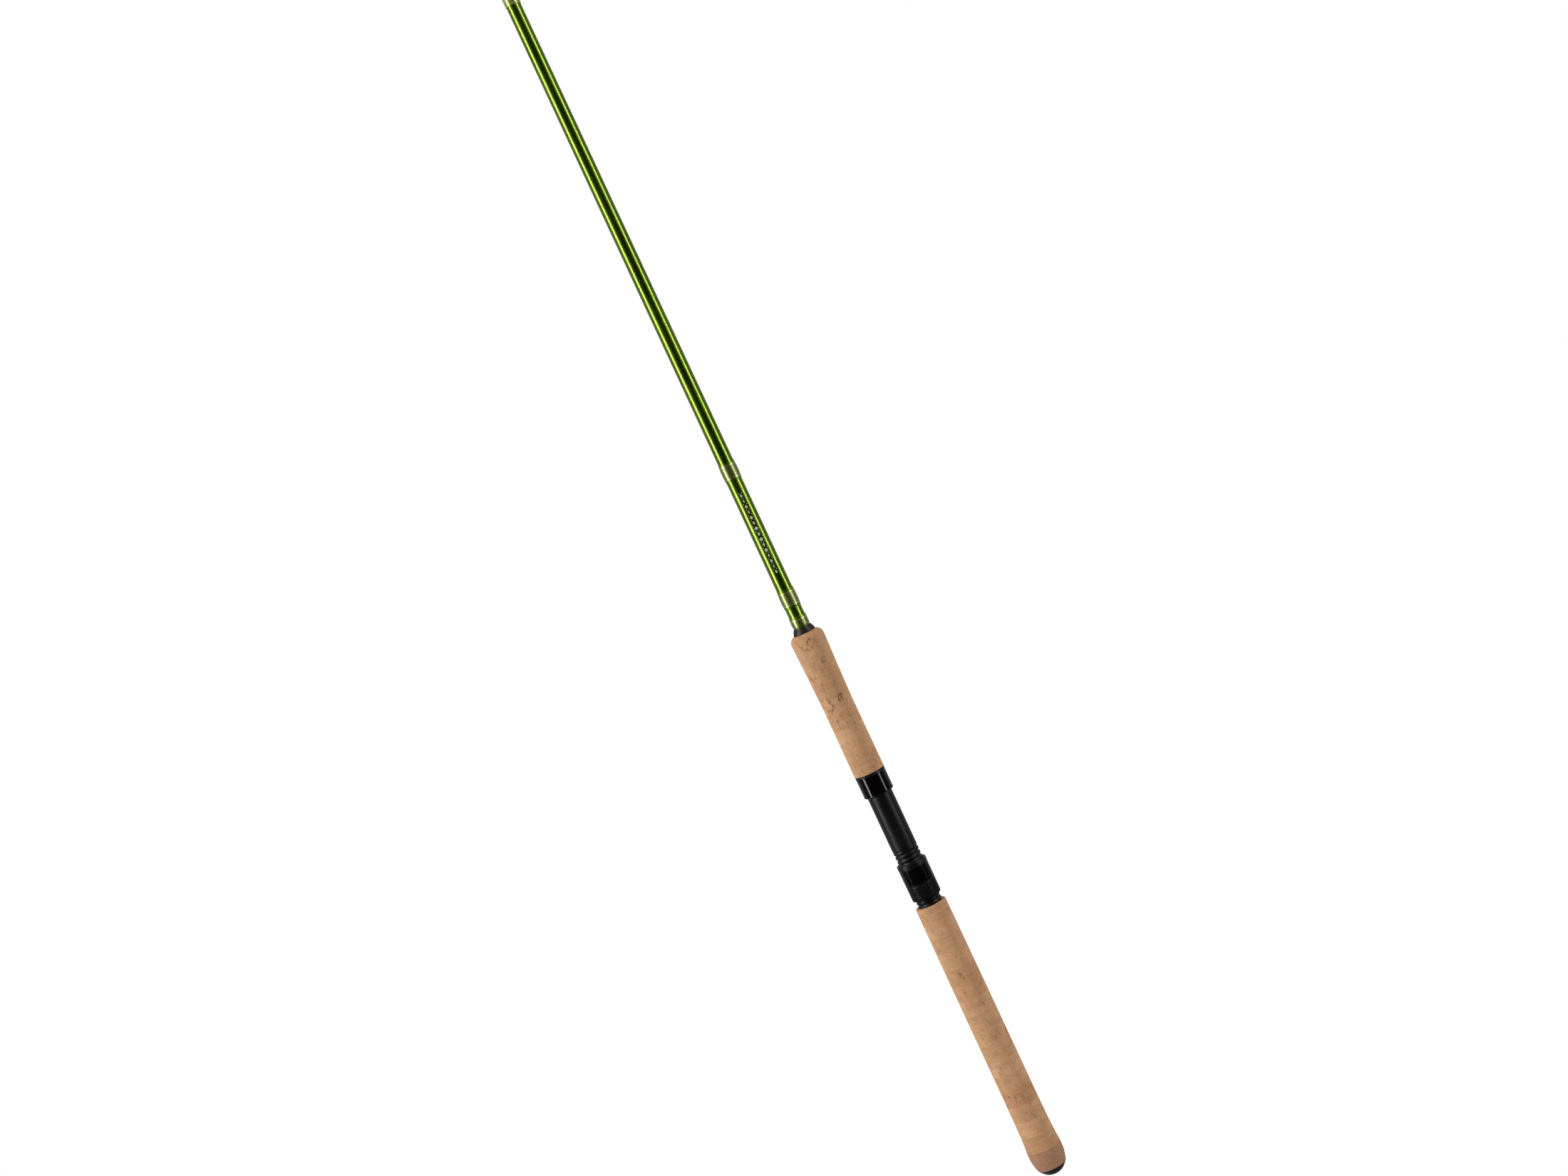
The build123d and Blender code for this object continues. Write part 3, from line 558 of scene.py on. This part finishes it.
def cork_ring(name, node, radius_at, ring_number, patches, loose, corner=0.00004, spread=pi):
    """One cork ring, turned to the grip's shape and pitted."""
    low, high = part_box(node)
    low, high = low.z, high.z
    edge = 0.00004
    rows = 12
    wall = []
    for step in range(rows + 1):
        z = low + edge + (high - low - edge - corner) * step / rows
        wall.append((radius_at(z), z))
    outline = [(blank_radius(low) + bore_gap, low), (radius_at(low) - edge, low)] + wall
    if corner > edge:
        outline = outline[:-1] + eased([
            wall[-1], (radius_at(high), high), (radius_at(high) - corner, high),
        ], [0, corner, 0], 10)
    else:
        outline.append((radius_at(high) - edge, high))
    outline.append((blank_radius(high) + bore_gap, high))
    ring = turned(name, outline, 72)
    select_faces(ring, lambda centre, normal: Vector(centre[:2]).length > 0.0095
                 and abs(normal.z) < 0.9)
    bpy.ops.object.mode_set(mode="EDIT")
    bpy.ops.mesh.subdivide(number_cuts=3)
    bpy.ops.object.mode_set(mode="OBJECT")
    chance = random.Random(ring_number)
    press_pores(ring, pore_marks(chance, low, high, patches, loose, spread), low, high, ring_number)
    return ring


cork, tree, shader, place = surface("natural_cork")
ring_number = add(tree, "Attribute", attribute_name="ring").outputs["Fac"]
pore = add(tree, "Attribute", attribute_name="pore").outputs["Fac"]
own = add(tree, "TexWhiteNoise", {"W": ring_number}, noise_dimensions="1D")
shift = add(tree, "VectorMath", {0: place, 1: own.outputs["Color"]}, operation="ADD").outputs["Vector"]
cloud = noise(tree, shift, 95.0, 3.0, 0.55)
streaks = noise(tree, stretch(tree, shift, (60.0, 60.0, 1300.0)), 1.0, 3.0, 0.6)
grain = noise(tree, stretch(tree, shift, (1.0, 1.0, 0.45)), 1500.0, 3.0, 0.6)
cells = add(tree, "TexVoronoi", {"Vector": shift, "Scale": 1900.0}).outputs["Distance"]
tone = blend(tree, own.outputs["Value"], (0.44, 0.228, 0.107, 1.0), (0.60, 0.352, 0.187, 1.0))
tone = blend(tree, ramp(tree, cloud, 0.3, 0.7, 0.0, 0.8), tone, (0.40, 0.205, 0.094, 1.0))
lines = noise(tree, stretch(tree, shift, (35.0, 35.0, 1300.0)), 1.0, 2.0, 0.6)
patch = noise(tree, shift, 140.0, 2.0)
lined = add(tree, "Math", {0: ramp(tree, patch, 0.44, 0.6, 0.0, 1.0), 1: ramp(tree, lines, 0.5, 0.68, 0.0, 0.55)},
            operation="MULTIPLY").outputs["Value"]
tone = blend(tree, lined, tone, (0.36, 0.16, 0.07, 1.0))
tone = blend(tree, ramp(tree, streaks, 0.45, 0.75, 0.0, 0.4), tone, (0.64, 0.41, 0.235, 1.0))
smudge = noise(tree, stretch(tree, shift, (1.0, 1.0, 0.6)), 210.0, 3.0, 0.6)
tone = blend(tree, ramp(tree, smudge, 0.55, 0.74, 0.0, 0.55), tone, (0.27, 0.125, 0.055, 1.0))
tone = blend(tree, ramp(tree, grain, 0.54, 0.74, 0.0, 0.45), tone, (0.32, 0.155, 0.07, 1.0))
flecks = noise(tree, stretch(tree, shift, (1.0, 1.0, 0.3)), 620.0, 2.0)
tone = blend(tree, ramp(tree, flecks, 0.66, 0.74, 0.0, 0.5), tone, (0.20, 0.10, 0.045, 1.0))
ragged = add(tree, "Math", {0: pore, 1: ramp(tree, grain, 0.3, 0.7, 0.45, 1.5)},
             operation="MULTIPLY").outputs["Value"]
tone = blend(tree, ramp(tree, ragged, 0.12, 0.75, 0.0, 0.85), tone, (0.15, 0.07, 0.03, 1.0))
tree.links.new(tone, shader.inputs["Base Color"])
tree.links.new(ramp(tree, grain, 0.3, 0.8, 0.62, 0.8), shader.inputs["Roughness"])
shader.inputs["Specular IOR Level"].default_value = 0.25
coarse = add(tree, "Math", {0: grain, 1: cells}, operation="ADD").outputs["Value"]
bump(tree, shader, coarse, 0.00012, 0.35)

for index in range(16):
    number = index + 1
    ring = cork_ring(f"rear_cork_{number:02d}", f"rear_cork_ring_{number:02d}", rear_radius, number,
                     (0, 1, 0, 2)[index % 4], 7, 0.0012 if number == 16 else 0.00004)
    fit(ring, cork, "butt_section", "cork", f"rear_cork_ring_{number:02d}", crease=50)
for index in range(9):
    number = index + 1
    patches = {5: 9, 9: 4}.get(number, (1, 2, 0)[index % 3])
    ring = cork_ring(f"fore_cork_{number:02d}", f"fore_cork_ring_{number:02d}", fore_radius,
                     number + 40, patches, 9, 0.006 if number == 9 else 0.00004,
                     0.7 if number in (5, 9) else pi)
    fit(ring, cork, "butt_section", "cork", f"fore_cork_ring_{number:02d}", crease=50)

# ------------------------------------------------------------------ Composite butt ring
# Ground cork bound with rubber and pressed into a hard ring. It takes the knocks at the butt,
# so it is a little proud of the natural cork, redder and finely speckled.
low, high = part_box("butt_ring")
ring_low, ring_high = low.z, high.z
ring_radius = high.x
cap_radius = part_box("butt_cap")[1].x
composite, tree, shader, place = surface("composite_cork")
chips = add(tree, "TexVoronoi", {"Vector": place, "Scale": 1000.0, "Randomness": 1.0})
chip_tone = add(tree, "SeparateColor", {"Color": chips.outputs["Color"]}).outputs["Red"]
tone = blend(tree, chip_tone, (0.31, 0.165, 0.09, 1.0), (0.40, 0.225, 0.125, 1.0))
gaps = ramp(tree, chips.outputs["Distance"], 0.45, 0.75, 0.0, 0.35)
tone = blend(tree, gaps, tone, (0.20, 0.095, 0.05, 1.0))
cloud = noise(tree, place, 120.0, 3.0)
tone = blend(tree, ramp(tree, cloud, 0.35, 0.7, 0.0, 0.5), tone, (0.36, 0.17, 0.095, 1.0))
tree.links.new(tone, shader.inputs["Base Color"])
tree.links.new(ramp(tree, chip_tone, 0.0, 1.0, 0.55, 0.72), shader.inputs["Roughness"])
shader.inputs["Specular IOR Level"].default_value = 0.3
bump(tree, shader, chips.outputs["Distance"], 0.0001, 0.4)
composite_ring = turned("composite_ring", eased([
    (blank_radius(ring_low) + bore_gap, ring_low),
    (cap_radius, ring_low),
    (ring_radius - 0.0003, ring_low + 0.0056),
    (ring_radius, ring_low + 0.0095),
    (ring_radius, ring_high),
    (blank_radius(ring_high) + bore_gap, ring_high),
], [0, 0.0001, 0.0045, 0, 0.0001, 0], 10), 144)
fit(composite_ring, composite, "butt_section", "composite_cork", "butt_ring")

# ------------------------------------------------------------------ Butt cap
# A moulded rubber dome with a spigot that plugs the blank. A fine groove sets it off from the
# composite ring, and its end has a small flat to stand on.
low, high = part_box("butt_cap")
cap_low, cap_high = low.z, high.z
cap_flat = 0.0038
spigot = blank_radius(ring_low) - blank_wall - bore_gap
rubber, tree, shader, place = surface("black_rubber")
dust = noise(tree, place, 260.0, 3.0)
tree.links.new(blend(tree, dust, (0.005, 0.004, 0.0035, 1.0), (0.011, 0.009, 0.0075, 1.0)),
               shader.inputs["Base Color"])
handled(tree, shader, place, 0.4, 0.52)
shader.inputs["Specular IOR Level"].default_value = 0.35
bump(tree, shader, noise(tree, place, 2600.0, 2.0), 0.00004, 0.5)
dome = []
for step in range(17):
    share = (step / 16) ** 1.8
    dome.append((cap_flat + (cap_radius - cap_flat) * share ** 0.54,
                 cap_low + (ring_low - cap_low) * share))
cap = turned("cap_rubber", [(0.0002, cap_low)] + dome
             + [(cap_radius - 0.0002, ring_low), (spigot, ring_low), (spigot, cap_high),
                (0.0002, cap_high)])
select_faces(cap, lambda centre, normal: Vector(centre[:2]).length < 0.0002)
bpy.ops.object.mode_set(mode="EDIT")
bpy.ops.mesh.delete(type="FACE")
bpy.ops.mesh.select_all(action="SELECT")
bpy.ops.mesh.fill_holes(sides=0)
close_mesh()
fit(cap, rubber, "butt_section", "cap_rubber", "butt_cap")

# ------------------------------------------------------------------ Winding check
# A soft rubber cone pushed down the blank to hide the joint in front of the foregrip.
low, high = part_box("winding_check")
check_low, check_high, check_base = low.z, high.z, high.x
check_rim = 0.001
check = turned("check_cone", eased([
    (blank_radius(check_low) + bore_gap, check_low),
    (check_base, check_low),
    (check_base, check_low + check_rim),
    (blank_radius(check_high) + 0.0008, check_high),
    (blank_radius(check_high) + bore_gap, check_high),
], [0, 0.0002, 0.0005, 0.0003, 0]))
fit(check, rubber, "butt_section", "check_rubber", "winding_check")

# ------------------------------------------------------------------ Reel seat body
# A tube moulded in satin black plastic. Its rear half carries a rolled thread for the lock nut,
# which fades out under the barrel, and a keyway on the reel's side keeps the moving hood straight.
low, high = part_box("reel_seat_body")
seat_low, seat_high, seat_radius = low.z, high.z, high.x
seat_bore = seat_radius - 0.00175
screw_pitch = 0.0035
screw_depth = 0.00065
screw_end = seat_low + 0.048

seat_plastic, tree, shader, place = surface("satin_black_plastic")
mould = noise(tree, place, 300.0, 3.0)
tree.links.new(blend(tree, mould, (0.0026, 0.0022, 0.0026, 1.0), (0.0042, 0.0037, 0.0042, 1.0)),
               shader.inputs["Base Color"])
handled(tree, shader, place, 0.36, 0.44)
shader.inputs["Specular IOR Level"].default_value = 0.28
bump(tree, shader, noise(tree, place, 3200.0, 2.0), 0.00002, 0.4)

bpy.ops.object.select_all(action="DESELECT")
start = (seat_radius - screw_depth, 0, seat_low - 2 * screw_pitch)
bpy.ops.mesh.primitive_plane_add(size=0.0001, location=start)
seat = bpy.context.object
seat.name = "seat_barrel"
bpy.ops.object.transform_apply(location=True)
bpy.ops.object.mode_set(mode="EDIT")
bpy.ops.mesh.select_all(action="SELECT")
bpy.ops.mesh.merge(type="CENTER")
profile_steps = 14
last = 0.0
for step in range(1, profile_steps + 1):
    t = step / profile_steps
    crest = min(max(0.5 - 0.85 * cos(tau * t), 0.0), 1.0)
    rise = (screw_depth * (crest - last), 0, screw_pitch / profile_steps)
    bpy.ops.mesh.extrude_region_move(TRANSFORM_OT_translate={"value": rise})
    last = crest
bpy.ops.object.mode_set(mode="OBJECT")
turns = seat.modifiers.new("thread", "SCREW")
turns.axis = "Z"
turns.angle = tau
turns.screw_offset = screw_pitch
turns.iterations = 19
turns.steps = turns.render_steps = 72
turns.use_merge_vertices = True
turns.merge_threshold = 1e-6
apply_modifiers(seat)
for vertex in seat.data.vertices:
    fade = min(max((vertex.co.z - screw_end + 0.0035) / 0.0035, 0.0), 1.0)
    radius = Vector(vertex.co[:2]).length
    wanted = radius + (seat_radius - radius) * fade
    vertex.co.x *= wanted / radius
    vertex.co.y *= wanted / radius


def cut_plane(piece, z, keep_above):
    """Cut a piece level at a height, drop one side, and leave the cut edge selected."""
    bpy.ops.object.select_all(action="DESELECT")
    piece.select_set(True)
    bpy.context.view_layer.objects.active = piece
    bpy.ops.object.mode_set(mode="EDIT")
    bpy.context.tool_settings.mesh_select_mode = (True, False, False)
    bpy.ops.mesh.select_all(action="SELECT")
    bpy.ops.mesh.bisect(plane_co=(0, 0, z), plane_no=(0, 0, 1), clear_inner=keep_above,
                        clear_outer=not keep_above, threshold=1e-7)


cut_plane(seat, seat_low, True)
bpy.ops.object.mode_set(mode="OBJECT")
cut_plane(seat, screw_end + 0.001, False)
rise = (0, 0, seat_high - screw_end - 0.001)
bpy.ops.mesh.extrude_region_move(TRANSFORM_OT_translate={"value": rise})
shrink = seat_bore / seat_radius
bpy.ops.mesh.extrude_region_move(TRANSFORM_OT_translate={"value": (0, 0, 0)})
bpy.ops.transform.resize(value=(shrink, shrink, 1), center_override=(0, 0, seat_high))
bpy.ops.mesh.extrude_region_move(TRANSFORM_OT_translate={"value": (0, 0, seat_low - seat_high)})
bpy.ops.object.mode_set(mode="OBJECT")
select_points(seat, lambda point: abs(point.z - seat_low) < 1e-6)
bpy.ops.object.mode_set(mode="EDIT")
bpy.ops.mesh.bridge_edge_loops()
close_mesh()


def combine(piece, tool, operation):
    """Cut a tool out of a piece, or join it on, and throw the tool away."""
    change = piece.modifiers.new(tool.name, "BOOLEAN")
    change.object = tool
    change.operation = operation
    change.solver = "EXACT"
    apply_modifiers(piece)
    bpy.data.objects.remove(tool)


def cut_block(piece, name, centre, size, bevel=0.0, operation="DIFFERENCE"):
    """Cut a block out of a piece, or join one to it."""
    bpy.ops.object.select_all(action="DESELECT")
    bpy.ops.mesh.primitive_cube_add(size=1.0, location=centre)
    block = bpy.context.object
    block.name = name
    block.scale = size
    bpy.ops.object.transform_apply(location=True, scale=True)
    if bevel:
        softer = block.modifiers.new("soften", "BEVEL")
        softer.width = bevel
        softer.segments = 5
        apply_modifiers(block)
    combine(piece, block, operation)


key_width, key_depth, keyway_length = 0.004, 0.0009, 0.072
cut_block(seat, "keyway", (0, seat_radius, seat_low + keyway_length / 2),
          (key_width, 2 * key_depth, keyway_length))
fit(seat, seat_plastic, "butt_section", "seat_plastic", "reel_seat_body", crease=40)

# ------------------------------------------------------------------ Arbors
# Two bushings of hard foam glued on the blank inside the seat. They stay hidden.
foam, tree, shader, place = surface("arbor_foam")
cells = add(tree, "TexVoronoi", {"Vector": place, "Scale": 900.0}).outputs["Distance"]
tree.links.new(blend(tree, cells, (0.55, 0.52, 0.46, 1.0), (0.72, 0.69, 0.62, 1.0)),
               shader.inputs["Base Color"])
tree.links.new(ramp(tree, cells, 0.0, 1.0, 0.75, 0.9), shader.inputs["Roughness"])
bump(tree, shader, cells, 0.0002)


def repaint(node, finish):
    """Give a CAD piece that stays its material."""
    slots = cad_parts[node].data.materials
    slots.clear()
    slots.append(finish)


repaint("arbor_rear", foam)
repaint("arbor_front", foam)

# ------------------------------------------------------------------ Hoods
# Moulded shells that clamp the reel's foot. Each has a polished black band between satin rims,
# and a crowned housing on the reel's side with a pocket for the foot.
gloss, tree, shader, place = surface("gloss_black")
haze = noise(tree, place, 200.0, 2.0)
tree.links.new(blend(tree, haze, (0.0014, 0.0009, 0.0009, 1.0), (0.0022, 0.0015, 0.0015, 1.0)),
               shader.inputs["Base Color"])
handled(tree, shader, place, 0.1, 0.16)
shader.inputs["Specular IOR Level"].default_value = 0.24
bump(tree, shader, haze, 0.00002, 0.15)
pocket_width, pocket_height, pocket_depth = 0.0156, 0.00515, 0.013
housing_wall = 0.0017
rim_step = 0.00008


def hood(name, node, body, radius, bore, low, high, band_low, band_high, rear_corner, pocket_up):
    """A hood: satin rims, a polished band between them, and the housing with its pocket."""
    outline = eased([
        (bore, low), (radius, low), (radius, band_low), (radius - rim_step, band_low),
        (radius - rim_step, band_high), (radius, band_high), (radius, high), (bore, high),
    ], [0, rear_corner, 0.0001, 0, 0, 0.0001, 0.0006, 0.0003])
    shell = turned(name, outline, 144)
    pocket_top = seat_radius + pocket_height
    length = pocket_depth + housing_wall
    middle = high - length / 2 if pocket_up else low + length / 2
    top = pocket_top + housing_wall
    root = 0.0065
    cut_block(shell, "housing", (0, (root + top) / 2, middle),
              (pocket_width + 2 * housing_wall, top - root, length - 0.0002), 0.0021, "UNION")
    pocket_middle = high - pocket_depth / 2 if pocket_up else low + pocket_depth / 2
    overrun = 0.002 if pocket_up else -0.002
    cut_block(shell, "pocket", (0, pocket_top / 2 + 0.002, pocket_middle + overrun / 2),
              (pocket_width, pocket_top - 0.004, pocket_depth + abs(overrun)), 0.0006)
    bpy.ops.object.select_all(action="DESELECT")
    bpy.ops.mesh.primitive_cylinder_add(
        vertices=144, radius=bore + 0.00002, depth=high - low + 0.01, location=(0, 0, (low + high) / 2)
    )
    bpy.ops.object.transform_apply(location=True)
    combine(shell, bpy.context.object, "DIFFERENCE")
    shell.data.materials.append(seat_plastic)
    shell.data.materials.append(gloss)
    for face in shell.data.polygons:
        level = Vector(face.center[:2]).length
        polished = band_low < face.center.z < band_high and abs(level - radius) < 0.0003
        face.material_index = 1 if polished else 0
    fit(shell, seat_plastic, body, "hood_gloss", node)
    return shell


low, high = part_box("fixed_hood")
fixed_radius = high.x
hood("hood_fixed", "fixed_hood", "butt_section", fixed_radius, seat_radius + bore_gap,
     low.z, high.z, low.z + 0.0012, high.z - 0.0021, 0.0011, False)
low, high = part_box("moving_hood")
moving_radius = high.x
slide_gap = 0.00008
moving = hood("hood_moving", "moving_hood", "sliding_hood", moving_radius, seat_radius + slide_gap,
              low.z, high.z, low.z + 0.0006, high.z - 0.0041, 0.0005, True)
key_length = high.z - low.z - pocket_depth
cut_block(moving, "key", (0, seat_radius, low.z + key_length / 2),
          (key_width - 0.0002, 0.0016, key_length - 0.0004), operation="UNION")

# ------------------------------------------------------------------ Lock nut
# A moulded ring that screws along the thread and pushes the moving hood. It has a smooth collar
# in front and a ribbed grip behind, rounded off at the rear.
low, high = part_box("lock_nut")
nut_low, nut_high = low.z, high.z
nut_radius = seat_radius + 0.00175
rib_count = 54
rib_depth = 0.0004
collar = 0.0016
facets_per_rib = 4
ribs_low, ribs_high = nut_low + 0.0011, nut_high - collar
nut = turned("nut_ribbed", eased([
    (seat_radius + slide_gap, nut_low), (nut_radius, nut_low), (nut_radius, ribs_low + 0.0004),
    (nut_radius, ribs_high - 0.0003), (nut_radius, nut_high), (seat_radius + slide_gap, nut_high),
], [0.0002, 0.0014, 0, 0, 0.0003, 0.0002]), rib_count * facets_per_rib)


def in_groove(point):
    """Tell whether a point of the nut lies between two ribs."""
    between = abs((atan2(point.y, point.x) * rib_count / tau + 0.5) % 1.0 - 0.5) < 0.1
    inside = nut_low + 0.0002 < point.z < ribs_high - 0.0002
    return between and inside and Vector(point[:2]).length > seat_radius + 0.0008


select_points(nut, in_groove)
bpy.ops.object.mode_set(mode="EDIT")
pull = 1.0 - rib_depth / nut_radius
bpy.ops.transform.resize(value=(pull, pull, 1), center_override=(0, 0, nut_low))
bpy.ops.object.mode_set(mode="OBJECT")
fit(nut, seat_plastic, "lock_nut", "nut_plastic", "lock_nut", crease=28)

# ------------------------------------------------------------------ Tip section
# The tip blank is rolled and lacquered like the butt. Its mouth pushes over the butt's male end
# and is bound with thread against splitting.
low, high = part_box("tip_blank")
mouth_low, tip_high, mouth_radius = low.z, high.z, high.x
tip_end_radius, tip_end_wall = 0.00095, 0.00045
fit_gap = 0.00005
bore_step = blank_high + 0.004


def tip_radius(z):
    """Outer radius of the tip blank at height z."""
    return mouth_radius + (tip_end_radius - mouth_radius) * (z - mouth_low) / (tip_high - mouth_low)


tip_blank = turned("blank_tip", [
    (blank_radius(mouth_low) + fit_gap, mouth_low),
    (mouth_radius - rim, mouth_low),
    (tip_radius(mouth_low + rim), mouth_low + rim),
    (tip_end_radius, tip_high),
    (tip_end_radius - tip_end_wall, tip_high),
    (tip_radius(bore_step) - blank_wall, bore_step),
    (blank_radius(bore_step) + fit_gap, bore_step),
])
fit(tip_blank, lacquer, "tip_section", "blank_lacquer", "tip_blank")

low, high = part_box("ferrule_wrap")
sleeve = wrap_sleeve("ferrule_thread", tip_radius, low.z, high.z, 0.0004)
finish = wrap_finish("ferrule_thread", low.z + 0.002, high.z - 0.002, olive, silver_thread, groove_shade_and_mottle)
fit(sleeve, finish, "tip_section", "thread_and_epoxy", "ferrule_wrap")
low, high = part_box("tip_top_wrap")
sleeve = wrap_sleeve("tip_top_thread", tip_radius, low.z, high.z, 0.0003)
finish = wrap_finish("tip_top_thread", low.z + 0.0005, high.z - 0.0005, olive, silver_thread, groove_shade_and_mottle)
fit(sleeve, finish, "tip_section", "thread_and_epoxy", "tip_top_wrap")

# ------------------------------------------------------------------ Line guides
# Each guide is a steel frame with bent legs and flat feet, a hard ceramic ring pressed in its
# collar, and thread and epoxy over each foot.
steel, tree, shader, place = surface("guide_steel")
draw = noise(tree, place, 1200.0, 3.0)
tree.links.new(blend(tree, draw, (0.10, 0.10, 0.105, 1.0), (0.22, 0.22, 0.225, 1.0)),
               shader.inputs["Base Color"])
handled(tree, shader, place, 0.22, 0.36)
shader.inputs["Metallic"].default_value = 1.0
bump(tree, shader, draw, 0.00002, 0.3)
ceramic, tree, shader, place = surface("guide_ceramic")
body_tone = noise(tree, place, 800.0, 2.0)
tree.links.new(blend(tree, body_tone, (0.012, 0.012, 0.014, 1.0), (0.022, 0.022, 0.026, 1.0)),
               shader.inputs["Base Color"])
handled(tree, shader, place, 0.08, 0.14)
bump(tree, shader, body_tone, 0.00001, 0.2)
foot_thread, tree, shader, place = surface("foot_thread")
z = add(tree, "SeparateXYZ", {"Vector": place}).outputs["Z"]
turns = add(tree, "Math", {0: z, 1: tau / thread_pitch}, operation="MULTIPLY").outputs["Value"]
ridge = add(tree, "Math", {0: turns}, operation="SINE").outputs["Value"]
# Painted shade: the grooves between turns take the darker olive, and the crests take the olive.
groove_shade_mask = ramp(tree, ridge, -1.0, 1.0, 0.0, 1.0)
tree.links.new(blend(tree, groove_shade_mask, groove_shade_and_mottle, olive), shader.inputs["Base Color"])
handled(tree, shader, place, 0.3, 0.42)
shader.inputs["Metallic"].default_value = 0.72
shader.inputs["Coat Weight"].default_value = 1.0
shader.inputs["Coat Roughness"].default_value = 0.06
bump(tree, shader, ridge, 0.00002, 0.35)

for number in range(1, 8):
    repaint(f"guide_{number}_frame", steel)
    repaint(f"guide_{number}_ring", ceramic)
for node in ("guide_1_wraps", "guide_2_wraps", "tip_guide_wraps"):
    repaint(node, foot_thread)
repaint("tip_top_frame", steel)
repaint("tip_top_ring", ceramic)

# ------------------------------------------------------------------ Size
low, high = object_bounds()
